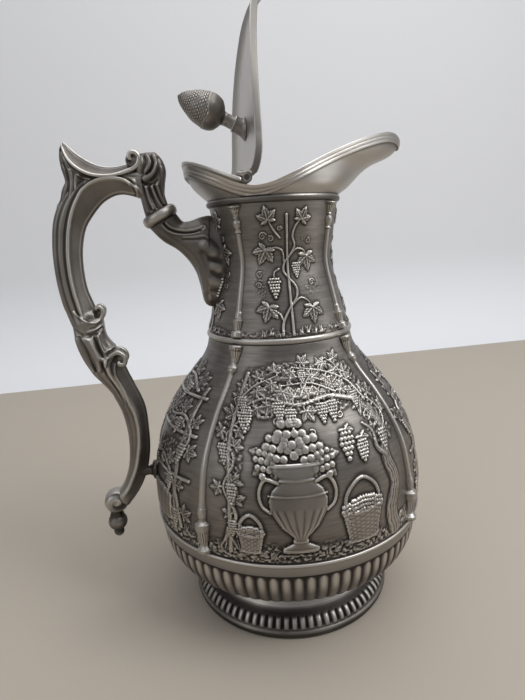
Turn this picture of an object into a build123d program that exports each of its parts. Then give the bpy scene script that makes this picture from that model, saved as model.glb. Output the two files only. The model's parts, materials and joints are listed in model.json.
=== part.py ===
from build123d import *

import os
from math import cos, radians, sin

# Cast pewter jug with a hinged half lid, millimetres.
# Origin at the centre of the foot's underside, +Z up, +X to the spout, -X to the handle.

# Foot and bowl
foot_radius = 45.0
foot_height = 12.0
foot_ridge_height = 4.2
foot_neck_radius = 37.6
foot_flutes = 80
bowl_height = 27.3
bowl_cove_height = 9.3
bowl_cove_radius = 46.6
bowl_radius = 58.0
bowl_flutes = 78
flute_depth = 0.7
casting_wall = 2.0

# Girdle, belly and neck
girdle_height = 5.6
girdle_radius = 59.4
belly_height = 74.3
belly_radius = 57.8
neck_ring_height = 2.6
neck_ring_radius = 31.3
neck_height = 50.2
neck_foot_radius = 30.2
neck_waist_radius = 23.4
neck_top_radius = 26.3
bead_height = 2.6
bead_radius = 27.5

# Relief pads on the belly
relief_proud = 0.8
relief_root = 0.5
relief_prism_start = 15.0

# Columns over the four seams
column_count = 4
column_start_angle = 45.0
belly_shaft_radius = 1.45
belly_capital_radius = 3.0
neck_shaft_radius = 1.25
neck_capital_radius = 2.4

# Rim, spout and hinge line
collar_height = 24.0
collar_wall = 1.8
spout_reach = 55.8
rear_reach = 36.0
rim_half_width = 31.0
flange_height = 4.0
flange_proud = 1.1
saddle_low = 177.8
hinge_x = -15.0
hinge_radius = 2.0
hinge_half_length = 29.5
hinge_knuckles = 5
hinge_end_gap = 0.15
pin_radius = 0.9
pin_clearance = 0.05

# Lid and finial
lid_open_angle = 64.0
lid_thickness = 2.9
lid_plate = 1.0
lid_border = 3.6
lid_seat_gap = 0.12
cover_thickness = 1.4
finial_x = 6.5
stem_height = 9.6
stem_foot_radius = 4.2
stem_neck_radius = 2.2
bud_length = 19.0
bud_radius = 7.3
stud_radius = 1.25
nut_width = 5.0
nut_height = 2.0
stud_end = 1.0

# Handle
grip_width = 9.5
ring_radius = 7.4
ring_thickness = 4.6
bracket_width = 15.0
bracket_arm_width = 9.6
tail_width = 8.2
leaf_width = 12.0
knuckle_width = 11.0
peg_radius = 2.3
pad_radius = 4.2
pad_thickness = 1.5
bead_ball_radius = 4.2

# Levels up the jug
bowl_z = foot_height
girdle_z = bowl_z + bowl_height
belly_z = girdle_z + girdle_height
neck_ring_z = belly_z + belly_height
neck_z = neck_ring_z + neck_ring_height
bead_z = neck_z + neck_height
collar_z = bead_z + bead_height


def belly_point(share, swell):
    """Point of the belly's meridian at a share of its height and of its swell."""
    radius = belly_top_radius + swell * (belly_radius - belly_top_radius)
    return (radius, belly_z + share * belly_height)


belly_top_radius = neck_ring_radius - 0.7
belly_shape = [(0, 1), (0.2, 0.99), (0.33, 0.945), (0.455, 0.864), (0.58, 0.706)]
belly_shape += [(0.71, 0.478), (0.83, 0.215), (0.93, 0.05), (1, 0)]
belly_points = [belly_point(*pair) for pair in belly_shape]

waist_z = neck_z + 0.56 * neck_height
neck_points = [
    (neck_foot_radius, neck_z),
    (neck_waist_radius + 0.36 * (neck_foot_radius - neck_waist_radius), neck_z + 0.33 * neck_height),
    (neck_waist_radius, waist_z),
    (neck_waist_radius + 0.42 * (neck_top_radius - neck_waist_radius), neck_z + 0.77 * neck_height),
    (neck_top_radius, bead_z),
]


def solid_of_revolution(points, bottom, top):
    """Full round body inside a meridian, used to trim what stands on the wall."""
    with BuildPart() as body:
        with BuildSketch(Plane.XZ):
            with BuildLine():
                Spline(*points)
                Polyline(points[-1], (points[-1][0], top), (0, top))
                Line((0, top), (0, bottom))
                Polyline((0, bottom), (points[0][0], bottom), points[0])
            make_face()
        revolve(axis=Axis.Z)
    return body.part


def revolved_shell(points, wall):
    """Wall of one thickness that follows a meridian from its first to its last point."""
    inner = [(radius - wall, level) for radius, level in points]
    with BuildPart() as shell:
        with BuildSketch(Plane.XZ):
            with BuildLine():
                Spline(*points)
                Line(points[-1], inner[-1])
                Spline(*reversed(inner))
                Line(inner[0], points[0])
            make_face()
        revolve(axis=Axis.Z)
    return shell.part


def flute_cutter(path_points, radius):
    """Round bar along a meridian, which leaves one hollow flute where it is cut away."""
    with BuildPart() as cutter:
        with BuildLine(Plane.XZ) as path:
            Spline(*path_points)
        with BuildSketch(Plane(path.wire() @ 0, z_dir=path.wire() % 0)):
            Circle(radius)
        sweep()
    return cutter.part


# Foot, a hollow casting with a fluted shoulder
foot_cutter_radius = 3.1416 * foot_radius / foot_flutes * 0.62
foot_flute_path = [
    (foot_radius - 0.3 + foot_cutter_radius - flute_depth, foot_ridge_height + 0.6),
    (foot_radius - 2.6 + foot_cutter_radius - flute_depth, foot_ridge_height + 2.6),
    (foot_neck_radius + 1.6 + foot_cutter_radius - flute_depth, foot_height - 2.6),
]
with BuildPart() as foot_ring:
    with BuildSketch(Plane.XZ):
        with BuildLine():
            Polyline(
                (foot_radius - 0.5, 0),
                (foot_radius, 0.5),
                (foot_radius + 0.2, foot_ridge_height - 1),
                (foot_radius - 0.4, foot_ridge_height),
            )
            Spline(
                (foot_radius - 0.4, foot_ridge_height),
                (foot_radius - 2.8, foot_ridge_height + 2.9),
                (foot_neck_radius + 1.3, foot_height - 2.4),
            )
            Polyline(
                (foot_neck_radius + 1.3, foot_height - 2.4),
                (foot_neck_radius + 0.9, foot_height - 1.6),
                (foot_neck_radius, foot_height),
                (foot_neck_radius - casting_wall, foot_height),
                (foot_neck_radius - casting_wall, foot_height - 1.5),
                (foot_radius - casting_wall - 1.5, foot_ridge_height),
                (foot_radius - casting_wall - 1.2, 0),
                (foot_radius - 0.5, 0),
            )
        make_face()
    revolve(axis=Axis.Z)
    with PolarLocations(0, foot_flutes):
        add(flute_cutter(foot_flute_path, foot_cutter_radius), mode=Mode.SUBTRACT)

# Bowl, the closed lower casting with a cove and a band of gadroons
cove_z = bowl_z + bowl_cove_height
floor_z = bowl_z + casting_wall
bowl_cutter_radius = 3.1416 * bowl_radius / bowl_flutes * 0.62
bowl_rise = girdle_z - cove_z
bowl_points = [
    (bowl_cove_radius, cove_z),
    (bowl_cove_radius + 0.54 * (bowl_radius - bowl_cove_radius), cove_z + 0.18 * bowl_rise),
    (bowl_cove_radius + 0.89 * (bowl_radius - bowl_cove_radius), cove_z + 0.57 * bowl_rise),
    (bowl_radius, girdle_z),
]
bowl_flute_path = [
    (bowl_points[0][0] + 1.2 + bowl_cutter_radius - flute_depth, cove_z - 0.4),
    (bowl_points[1][0] + 0.6 + bowl_cutter_radius - flute_depth, bowl_points[1][1] - 0.8),
    (bowl_points[2][0] + bowl_cutter_radius - flute_depth, bowl_points[2][1]),
    (bowl_radius + bowl_cutter_radius - flute_depth, girdle_z - 0.8),
]
with BuildPart() as lower_bowl:
    with BuildSketch(Plane.XZ):
        with BuildLine():
            Line((0, bowl_z), (foot_neck_radius, bowl_z))
            Spline(
                (foot_neck_radius, bowl_z),
                (foot_neck_radius + 1.9, bowl_z + 0.27 * bowl_cove_height),
                (foot_neck_radius + 5.4, bowl_z + 0.6 * bowl_cove_height),
                bowl_points[0],
            )
            Spline(*bowl_points)
            Line(bowl_points[-1], (bowl_radius - casting_wall, girdle_z))
            Spline(
                (bowl_radius - casting_wall, girdle_z),
                (bowl_points[2][0] - casting_wall, bowl_points[2][1]),
                (bowl_cove_radius - casting_wall, cove_z + casting_wall),
                (foot_neck_radius - casting_wall, floor_z),
            )
            Polyline((foot_neck_radius - casting_wall, floor_z), (0, floor_z), (0, bowl_z))
        make_face()
    revolve(axis=Axis.Z)
    with PolarLocations(0, bowl_flutes):
        add(flute_cutter(bowl_flute_path, bowl_cutter_radius), mode=Mode.SUBTRACT)

# Girdle, the plain band over the gadroons
with BuildPart() as girdle_band:
    with BuildSketch(Plane.XZ):
        with BuildLine():
            Polyline(
                (bowl_radius - casting_wall, girdle_z),
                (bowl_radius + 0.3, girdle_z),
                (girdle_radius - 0.5, belly_z - 1.2),
                (girdle_radius, belly_z - 0.9),
                (girdle_radius, belly_z - 0.3),
                (girdle_radius - 0.4, belly_z),
                (belly_radius - casting_wall, belly_z),
                (bowl_radius - casting_wall, girdle_z),
            )
        make_face()
    revolve(axis=Axis.Z)

# Relief: the main forms of the belly's picture as low pads, drawn in degrees from the middle of
# a panel and in shares of the way up the wall
vase = [(-14.5, 0.049), (-1, 0.049), (-5, 0.123), (3, 0.258), (3, 0.319), (-1.5, 0.393), (6.5, 0.454)]
vase += [(4.5, 0.553), (-3.5, 0.614), (-16, 0.614), (-23, 0.553), (-23.5, 0.454), (-15, 0.393), (-19, 0.319)]
vase += [(-19, 0.258), (-10.5, 0.123)]
basket = [(10, 0.049), (22.5, 0.049), (25, 0.209), (22.5, 0.27), (10.5, 0.27), (8, 0.209)]
small_basket = [(-29, 0.049), (-22.5, 0.049), (-21, 0.135), (-23, 0.178), (-29, 0.178), (-30.5, 0.135)]
trunk = [(29.5, 0.025), (36.5, 0.025), (34.5, 0.147), (37.5, 0.27), (35, 0.405), (37.5, 0.528), (34, 0.651)]
trunk += [(29.5, 0.614), (32, 0.516), (28.5, 0.405), (31, 0.27), (27.5, 0.147)]
leaf_arch = [(33.5, 0.626), (16.5, 0.651), (-5, 0.651), (-23.5, 0.676), (-31, 0.626), (-36.5, 0.737)]
leaf_arch += [(-21, 0.798), (-9.5, 0.848), (6.5, 0.848), (22.5, 0.798), (33, 0.725)]
stake_vine = [(-36.5, 0.037), (-31.5, 0.037), (-31.5, 0.246), (-31, 0.467), (-34, 0.614), (-39.5, 0.614)]
stake_vine += [(-39.5, 0.467), (-36, 0.246)]
hanging_bunches = [(10.5, 0.43), (16, 0.43), (20, 0.405), (24, 0.442), (25, 0.54), (12, 0.577)]
still_life = [vase, basket, small_basket, trunk, leaf_arch, stake_vine, hanging_bunches]

long_cask = [(-27, 0.074), (-18, 0.057), (-9, 0.066), (-4.5, 0.104), (-4.5, 0.167), (-9, 0.216)]
long_cask += [(-18, 0.226), (-27, 0.209)]
short_cask = [(9, 0.069), (17, 0.054), (25, 0.069), (25, 0.192), (17, 0.204), (9, 0.192), (5.5, 0.157)]
short_cask += [(5.5, 0.098)]
left_vines = [(-34, 0.037), (-28, 0.037), (-27, 0.258), (-14.5, 0.319), (-3, 0.295), (-2, 0.381), (-13, 0.43)]
left_vines += [(-28, 0.442), (-29.5, 0.577), (-11.5, 0.528), (0, 0.528), (0, 0.676), (-27.5, 0.688)]
left_vines += [(-35, 0.737), (-35, 0.565), (-34, 0.246)]
right_vines = [(34, 0.037), (34, 0.246), (35, 0.565), (35, 0.737), (27.5, 0.688), (4, 0.663), (3.5, 0.54)]
right_vines += [(16, 0.54), (29, 0.565), (28.5, 0.467), (15.5, 0.479), (4.5, 0.43), (4, 0.332), (18.5, 0.356)]
right_vines += [(27, 0.27), (28, 0.037)]
top_leaves = [(-29, 0.731), (-8.5, 0.749), (11, 0.737), (27.5, 0.731), (27, 0.786), (9.5, 0.835)]
top_leaves += [(-9.5, 0.848), (-25.5, 0.798)]
trellis = [long_cask, short_cask, left_vines, right_vines, top_leaves]

belly_line = Spline(*belly_points)
relief_points = [(radius + relief_proud, level) for radius, level in belly_points]


def panel_point(turn, share):
    """Front view of a point of the belly's wall, turned from the middle of the front panel."""
    point = belly_line @ share
    return (point.X * sin(radians(turn)), point.Y)


def panel_prisms(outlines, mirror, quarter_turns):
    """Prisms that face one panel of the belly, one for each outline, mirrored where mirror is -1."""
    with BuildPart() as prisms:
        with BuildSketch(Plane.XZ.offset(relief_prism_start)):
            for outline in outlines:
                with BuildLine():
                    Polyline(*[panel_point(mirror * turn, share) for turn, share in outline], close=True)
                make_face()
        extrude(amount=belly_radius)
    return prisms.part.rotate(Axis.Z, 90 * quarter_turns)


with BuildPart() as relief:
    add(revolved_shell(relief_points, relief_proud + relief_root))
    with BuildPart(mode=Mode.INTERSECT):
        add(panel_prisms(still_life, 1, 0))
        add(panel_prisms(trellis, 1, 1))
        add(panel_prisms(still_life, -1, 2))
        add(panel_prisms(trellis, -1, 3))

# Belly and neck shells, with the rounded ring between them
with BuildPart() as belly_shell:
    add(revolved_shell(belly_points, casting_wall))
    add(relief.part)

with BuildPart() as neck_ring:
    with BuildSketch(Plane.XZ):
        with BuildLine():
            Line((neck_ring_radius - 1, neck_ring_z), (neck_ring_radius - 1 - casting_wall, neck_ring_z))
            Line((neck_ring_radius - 1 - casting_wall, neck_ring_z), (neck_foot_radius - casting_wall, neck_z))
            Line((neck_foot_radius - casting_wall, neck_z), (neck_ring_radius - 1, neck_z))
            ThreePointArc(
                (neck_ring_radius - 1, neck_z),
                (neck_ring_radius, neck_ring_z + neck_ring_height / 2),
                (neck_ring_radius - 1, neck_ring_z),
            )
        make_face()
    revolve(axis=Axis.Z)

with BuildPart() as neck_shell:
    add(revolved_shell(neck_points, casting_wall))

with BuildPart() as collar_bead:
    with BuildSketch(Plane.XZ):
        with BuildLine():
            Polyline(
                (bead_radius - 1.2, bead_z),
                (neck_top_radius - casting_wall, bead_z),
                (neck_top_radius - casting_wall, collar_z),
                (bead_radius - 1.2, collar_z),
            )
            ThreePointArc(
                (bead_radius - 1.2, collar_z),
                (bead_radius, bead_z + bead_height / 2),
                (bead_radius - 1.2, bead_z),
            )
        make_face()
    revolve(axis=Axis.Z)


def shaft_stations(low, high, low_radius, high_radius, count):
    """Evenly spaced rings of a column's shaft, which follows the wall's curve."""
    stations = []
    for index in range(count + 1):
        along = index / count
        stations.append((low + along * (high - low), low_radius + along * (high_radius - low_radius)))
    return stations


def column(meridian, stations, trim):
    """Slender column up a wall: rings of given radius at shares of the meridian, cut by the wall."""
    line = Spline(*[(radius, 0, level) for radius, level in meridian])
    with BuildPart() as post:
        for share, radius in stations:
            with BuildSketch(Plane(line @ share, x_dir=(0, 1, 0), z_dir=line % share)):
                Circle(radius)
        loft(ruled=True)
        add(trim, mode=Mode.SUBTRACT)
    return post.part


# Columns, soldered over the four seams of the belly and of the neck
envelope_margin = 6.0
belly_stations = [
    (0.005, belly_capital_radius),
    (0.035, 1.15 * belly_shaft_radius),
    (0.115, 0.95 * belly_capital_radius),
    (0.125, 1.05 * belly_capital_radius),
    (0.145, 1.05 * belly_capital_radius),
    (0.155, 1.2 * belly_shaft_radius),
    (0.2, 1.45 * belly_shaft_radius),
    *shaft_stations(0.25, 0.86, belly_shaft_radius, 0.8 * belly_shaft_radius, 11),
    (0.875, 1.4 * belly_shaft_radius),
    (0.9, 1.4 * belly_shaft_radius),
    (0.915, belly_shaft_radius),
    (0.995, belly_capital_radius),
]
neck_stations = [
    (0.005, neck_capital_radius),
    (0.05, neck_capital_radius),
    (0.06, 1.3 * neck_shaft_radius),
    (0.13, 1.6 * neck_shaft_radius),
    *shaft_stations(0.2, 0.84, neck_shaft_radius, 0.9 * neck_shaft_radius, 8),
    (0.85, 1.3 * neck_shaft_radius),
    (0.88, 1.3 * neck_shaft_radius),
    (0.89, neck_shaft_radius),
    (0.94, 1.2 * neck_shaft_radius),
    (0.99, neck_capital_radius),
]
belly_envelope = solid_of_revolution(belly_points, belly_z - envelope_margin, neck_ring_z + envelope_margin)
neck_envelope = solid_of_revolution(neck_points, neck_z - envelope_margin, bead_z + envelope_margin)
belly_column = column(belly_points, belly_stations, belly_envelope)
neck_column = column(neck_points, neck_stations, neck_envelope)

with BuildPart() as belly_columns:
    with PolarLocations(0, column_count, start_angle=column_start_angle):
        add(belly_column)

with BuildPart() as neck_columns:
    with PolarLocations(0, column_count, start_angle=column_start_angle):
        add(neck_column)


# Rim: every outline of the collar is one egg shape, round at the neck and pointed at the lip
def egg(front, rear, half_width, point):
    """Closed outline, from a circle at point 0 to the pouring lip's plan at point 1."""
    outline = []
    for index in range(16):
        angle = radians(22.5 * index)
        reach = front if cos(angle) > 0 else rear
        narrowing = 1 - point * (0.35 + 0.15 * cos(angle)) * cos(angle)
        outline.append((reach * cos(angle), half_width * sin(angle) * narrowing))
    return outline


collar_levels = [
    (0.0, 0.0, 0.0, 0.0, 0.0),
    (0.1, 0.14, 0.33, 0.55, 0.1),
    (0.225, 0.27, 0.68, 0.82, 0.3),
    (0.35, 0.39, 0.87, 0.93, 0.5),
    (0.48, 0.57, 0.97, 0.98, 0.7),
    (0.605, 0.84, 1.0, 1.0, 0.88),
    (0.72, 0.97, 1.0, 1.0, 0.96),
    (1.0, 1.02, 1.0, 1.0, 1.0),
]


def collar_body(offset):
    """Solid inside the flaring collar, grown or shrunk by an offset."""
    start = neck_top_radius + 0.4
    with BuildPart() as body:
        for share, forward, back, side, point in collar_levels:
            front = start + forward * (spout_reach - flange_proud - start) + offset
            rear = start + back * (rear_reach - flange_proud - start) + offset
            width = start + side * (rim_half_width - flange_proud - start) + offset
            with BuildSketch(Plane.XY.offset(collar_z + share * collar_height)):
                with BuildLine():
                    Spline(*egg(front, rear, width, point), periodic=True)
                make_face()
        loft()
    return body.part


# The rim's saddle line in the middle plane, drawn once and used by rim, cover and lid
saddle_shape = [
    (-1.12, 12.6),
    (-1.0, 10.5),
    (-0.833, 7.2),
    (-0.667, 4.1),
    (-0.5, 1.4),
    (-0.333, 0.0),
    (-0.167, 0.9),
    (0.0, 3.2),
    (0.143, 6.8),
    (0.287, 10.3),
    (0.466, 14.2),
    (0.645, 17.5),
    (0.824, 19.8),
    (0.932, 19.5),
    (1.02, 16.8),
    (1.1, 13.0),
]


def saddle_point(share, rise):
    """Point of the rim line at a share of the spout's or of the rear's reach."""
    reach = spout_reach if share > 0 else rear_reach
    return Vector(share * reach, 0, saddle_low + rise)


saddle_line = Spline(*[saddle_point(*pair) for pair in saddle_shape])
saddle_band_half = rim_half_width + 12


def saddle_band(low, high):
    """Slab between two copies of the saddle line, ruled across the jug."""
    with BuildPart() as band:
        with BuildSketch(Plane.XZ):
            with BuildLine():
                lower = [saddle_point(*pair) + Vector(0, 0, low) for pair in saddle_shape]
                upper = [saddle_point(*pair) + Vector(0, 0, high) for pair in saddle_shape]
                Spline(*[(point.X, point.Z) for point in lower])
                Line((lower[-1].X, lower[-1].Z), (upper[-1].X, upper[-1].Z))
                Spline(*[(point.X, point.Z) for point in reversed(upper)])
                Line((upper[0].X, upper[0].Z), (lower[0].X, lower[0].Z))
            make_face()
        extrude(amount=saddle_band_half, both=True)
    return band.part


def rim_prism(inset):
    """Upright prism over the rim's plan outline, drawn in by an inset."""
    outline = egg(spout_reach - inset, rear_reach - inset, rim_half_width - inset, 1)
    with BuildPart() as prism:
        with BuildSketch(Plane.XY.offset(collar_z - 20)):
            with BuildLine():
                Spline(*outline, periodic=True)
            make_face()
        extrude(amount=collar_height + 60)
    return prism.part


above_rim = saddle_band(0, 60)
flange_band = saddle_band(-flange_height, 0)
collar_inside = collar_body(-collar_wall)

with BuildPart() as spout_collar:
    add(collar_body(0))
    add(collar_body(flange_proud) & flange_band)
    add(above_rim, mode=Mode.SUBTRACT)
    add(collar_inside, mode=Mode.SUBTRACT)

# Hinge: the barrel lies across the rim's lowest part, its knuckles shared by cover and lid
hinge_z = saddle_low + 0.6 + hinge_radius
hinge_axis = Axis((hinge_x, 0, hinge_z), (0, 1, 0))
knuckle_pitch = 2 * hinge_half_length / hinge_knuckles


def knuckles(first, bore, side):
    """Every second knuckle with its leaf, on one side of the hinge axis."""
    leaf_reach = hinge_radius + 1.6
    with BuildPart() as row:
        for index in range(first, hinge_knuckles, 2):
            start = -hinge_half_length + index * knuckle_pitch + hinge_end_gap / 2
            length = knuckle_pitch - hinge_end_gap
            with BuildSketch(Plane((hinge_x, start, hinge_z), x_dir=(1, 0, 0), z_dir=(0, 1, 0))):
                Circle(hinge_radius)
                with Locations((side * leaf_reach / 2, hinge_radius - cover_thickness / 2)):
                    Rectangle(leaf_reach, cover_thickness)
                Circle(bore, mode=Mode.SUBTRACT)
            extrude(amount=length)
    return row.part


cover_edge = hinge_x - hinge_radius - 0.3
lid_edge = hinge_x + hinge_radius + 0.3
cut_size = 200

with BuildPart() as rear_cover:
    add(rim_prism(0) & saddle_band(0, cover_thickness))
    with Locations((cover_edge + cut_size / 2, 0, hinge_z)):
        Box(cut_size, cut_size, cut_size, mode=Mode.SUBTRACT)
    add(knuckles(0, pin_radius, -1) - saddle_band(-20, 0))

with BuildPart() as hinge_pin:
    with BuildSketch(Plane((hinge_x, -hinge_half_length, hinge_z), z_dir=(0, 1, 0))):
        Circle(pin_radius)
    extrude(amount=2 * hinge_half_length)

# Lid and finial, drawn shut and then swung open about the hinge
field_low = lid_seat_gap
field_high = lid_seat_gap + lid_plate


def saddle_height(x):
    """Height of the rim line over a place in the middle plane."""
    low, high = 0.0, 1.0
    for _ in range(40):
        middle = (low + high) / 2
        if (saddle_line @ middle).X < x:
            low = middle
        else:
            high = middle
    return (saddle_line @ low).Z


def swung_open(shape):
    return shape.rotate(hinge_axis, -lid_open_angle)


field_z = saddle_height(finial_x) + field_high
boss_radius = nut_width / 2 + 0.9
boss_z = saddle_height(finial_x - boss_radius) - 0.4
nut_z = boss_z - nut_height
stud_z = nut_z - stud_end
bud_z = field_z + stem_height
stud_length = bud_z + bud_length / 3 - stud_z
finial_axis = Axis((finial_x, 0, 0), (0, 0, 1))

with BuildPart() as lid_shut:
    add(rim_prism(0) & saddle_band(field_low, lid_thickness))
    add(rim_prism(lid_border) & saddle_band(field_high, lid_thickness + 20), mode=Mode.SUBTRACT)
    with Locations((lid_edge - cut_size / 2, 0, hinge_z)):
        Box(cut_size, cut_size, cut_size, mode=Mode.SUBTRACT)
    add(knuckles(1, pin_radius + pin_clearance, 1) - saddle_band(-20, lid_seat_gap))
    with BuildSketch(Plane.XY.offset(boss_z)):
        with Locations((finial_x, 0)):
            Circle(boss_radius)
    extrude(until=Until.NEXT)
    with Locations((finial_x, 0, field_z)):
        Hole(stud_radius)

with BuildPart() as lid:
    add(swung_open(lid_shut.part))

with BuildPart() as stem_shut:
    with BuildSketch(Plane.XZ):
        with BuildLine():
            Polyline((finial_x, bud_z), (finial_x, field_z - 4), (finial_x + stem_foot_radius, field_z - 4))
            Line((finial_x + stem_foot_radius, field_z - 4), (finial_x + stem_foot_radius, field_z))
            Spline(
                (finial_x + stem_foot_radius, field_z),
                (finial_x + stem_neck_radius + 0.6, field_z + 0.35 * stem_height),
                (finial_x + stem_neck_radius, field_z + 0.75 * stem_height),
                (finial_x + stem_neck_radius + 0.4, bud_z),
            )
            Line((finial_x + stem_neck_radius + 0.4, bud_z), (finial_x, bud_z))
        make_face()
    revolve(axis=finial_axis)
    add(saddle_band(-20, field_high), mode=Mode.SUBTRACT)
    with Locations((finial_x, 0, bud_z)):
        Hole(stud_radius)

with BuildPart() as finial_stem:
    add(swung_open(stem_shut.part))

with BuildPart() as bud_shut:
    with BuildSketch(Plane.XZ):
        with BuildLine():
            Line((finial_x, bud_z + bud_length), (finial_x, bud_z))
            Line((finial_x, bud_z), (finial_x + stem_neck_radius + 0.4, bud_z))
            Spline(
                (finial_x + stem_neck_radius + 0.4, bud_z),
                (finial_x + 0.9 * bud_radius, bud_z + 0.13 * bud_length),
                (finial_x + bud_radius, bud_z + 0.3 * bud_length),
                (finial_x + 0.86 * bud_radius, bud_z + 0.5 * bud_length),
                (finial_x + 0.5 * bud_radius, bud_z + 0.75 * bud_length),
                (finial_x, bud_z + bud_length),
            )
        make_face()
    revolve(axis=finial_axis)
    with BuildSketch(Plane.XY.offset(bud_z)):
        with Locations((finial_x, 0)):
            Circle(stud_radius)
    extrude(amount=bud_length / 3, mode=Mode.SUBTRACT)

with BuildPart() as finial_bud:
    add(swung_open(bud_shut.part))

with BuildPart() as stud_shut:
    with BuildSketch(Plane.XY.offset(stud_z)):
        with Locations((finial_x, 0)):
            Circle(stud_radius)
    extrude(amount=stud_length)
    chamfer(stud_shut.edges().group_by(Axis.Z)[0], 0.3)

with BuildPart() as finial_stud:
    add(swung_open(stud_shut.part))

with BuildPart() as nut_shut:
    with BuildSketch(Plane.XY.offset(nut_z)):
        with Locations((finial_x, 0)):
            RegularPolygon(nut_width / 2, 6, major_radius=False)
            Circle(stud_radius, mode=Mode.SUBTRACT)
    extrude(amount=nut_height)

with BuildPart() as finial_nut:
    add(swung_open(nut_shut.part))

# Handle, cast in sections along the middle plane; its points are offsets from the neck's waist
handle_x = -neck_waist_radius
handle_z = waist_z


def handle_plane(x, z, heading):
    """Plane across the handle at an offset point, facing along a heading from +X towards +Z."""
    facing = (cos(radians(heading)), 0, sin(radians(heading)))
    return Plane((handle_x + x, 0, handle_z + z), x_dir=(0, 1, 0), z_dir=facing)


def limb(stations):
    """Handle section lofted through ovals: x, z, thickness, width and heading of each."""
    with BuildPart() as section:
        for x, z, thickness, width, heading in stations:
            with BuildSketch(handle_plane(x, z, heading)):
                Ellipse(width / 2, thickness / 2)
        loft()
    return section.part


ring_heading = 116.6
ring_x = -22.9
ring_z = 20.1
ring_half = ring_thickness / 2
ring_low_x = ring_x - ring_half * cos(radians(ring_heading))
ring_low_z = ring_z - ring_half * sin(radians(ring_heading))
ring_high_x = ring_x + ring_half * cos(radians(ring_heading))
ring_high_z = ring_z + ring_half * sin(radians(ring_heading))

bracket_stations = [
    (ring_low_x, ring_low_z, 1.62 * ring_radius, bracket_arm_width, ring_heading - 180),
    (-18.4, 14.0, 11.4, bracket_arm_width, -51),
    (-15.0, 12.2, 11.9, 0.72 * bracket_width, -27),
    (-12.0, 10.4, 15.4, 0.8 * bracket_width, -14),
    (-9.0, 8.4, 21.3, 0.9 * bracket_width, -10),
    (-6.4, 5.4, 28.5, bracket_width, -11),
    (-5.2, 1.4, 36.0, bracket_width, -7),
    (2.0, 0.6, 37.0, bracket_width, 0),
]
knuckle_stations = [
    (ring_high_x, ring_high_z, 1.38 * ring_radius, bracket_arm_width, ring_heading),
    (-24.9, 27.2, 9.6, 0.86 * knuckle_width, 100),
    (-25.2, 32.1, 11.0, 0.9 * knuckle_width, 91),
    (-25.2, 37.5, 12.6, knuckle_width, 90),
    (-25.6, 41.6, 10.5, 0.9 * knuckle_width, 94),
    (-25.9, 44.1, 5.0, 0.5 * knuckle_width, 95),
]
grip_stations = [
    (-28.6, 32.3, 11.0, grip_width, 182),
    (-36.9, 32.7, 7.6, grip_width, 181),
    (-44.2, 31.4, 9.4, grip_width, 196),
    (-52.0, 27.0, 12.6, grip_width, 221),
    (-57.1, 19.7, 12.2, grip_width, 244),
    (-59.5, 10.3, 11.3, grip_width, 258),
    (-60.1, 1.2, 10.9, grip_width, 269),
    (-59.6, -7.3, 10.9, grip_width, 277),
    (-58.0, -14.3, 11.4, grip_width, 286),
    (-55.8, -19.6, 12.7, leaf_width, 286),
]
leaf_stations = [
    (-55.8, -19.6, 12.7, leaf_width, 286),
    (-55.2, -27.2, 12.4, leaf_width, 281),
    (-52.6, -33.6, 13.9, leaf_width, 292),
    (-50.2, -38.6, 14.4, leaf_width, 297),
    (-48.5, -42.6, 12.4, 0.95 * leaf_width, 298),
    (-45.2, -49.2, 10.2, tail_width, 297),
]
tail_stations = [
    (-45.2, -49.2, 10.2, tail_width, 297),
    (-42.0, -58.7, 10.0, tail_width, 283),
    (-41.1, -68.9, 9.0, tail_width, 272),
    (-41.5, -78.5, 8.7, tail_width, 262),
    (-43.3, -87.2, 8.2, tail_width, 254),
    (-46.9, -95.0, 7.6, tail_width, 240),
    (-51.2, -100.2, 7.4, tail_width, 226),
]

with BuildPart() as handle_bracket:
    add(limb(bracket_stations))
    add(neck_envelope, mode=Mode.SUBTRACT)

with BuildPart() as handle_ring:
    with BuildSketch(handle_plane(ring_low_x, ring_low_z, ring_heading)):
        Circle(ring_radius)
    extrude(amount=ring_thickness)
    fillet(handle_ring.edges(), 0.44 * ring_thickness)

with BuildPart() as handle_knuckle:
    add(limb(knuckle_stations))

with BuildPart() as handle_grip:
    add(limb(grip_stations))
    add(handle_knuckle.part, mode=Mode.SUBTRACT)

with BuildPart() as handle_leaf:
    add(limb(leaf_stations))

with BuildPart() as handle_tail:
    add(limb(tail_stations))

# Thumb ledge over the grip, a strip with a pointed tip and a scroll at its root
ledge_top = [(-57.4, 48.7), (-52.4, 42.9), (-47.3, 40.2), (-41.9, 39.3), (-36.6, 40.0), (-31.2, 42.0)]
ledge_foot = [(-31.2, 38.4), (-40.3, 36.2), (-47.6, 36.6), (-50.0, 33.0), (-52.0, 27.5), (-59.6, 31.4)]
ledge_back = [(-59.6, 31.4), (-57.9, 37.0), (-57.8, 40.8), (-58.3, 45.2), (-57.4, 48.7)]
with BuildPart() as handle_ledge:
    with BuildSketch(Plane.XZ):
        with BuildLine():
            Spline(*[(handle_x + x, handle_z + z) for x, z in ledge_top])
            Polyline(*[(handle_x + x, handle_z + z) for x, z in [ledge_top[-1]] + ledge_foot])
            Spline(*[(handle_x + x, handle_z + z) for x, z in ledge_back])
        make_face()
        with Locations((handle_x - 31.6, handle_z + 41.4)):
            Circle(2.8)
    extrude(amount=grip_width / 2, both=True)
    add(handle_grip.part, mode=Mode.SUBTRACT)
    add(handle_knuckle.part, mode=Mode.SUBTRACT)

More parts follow.
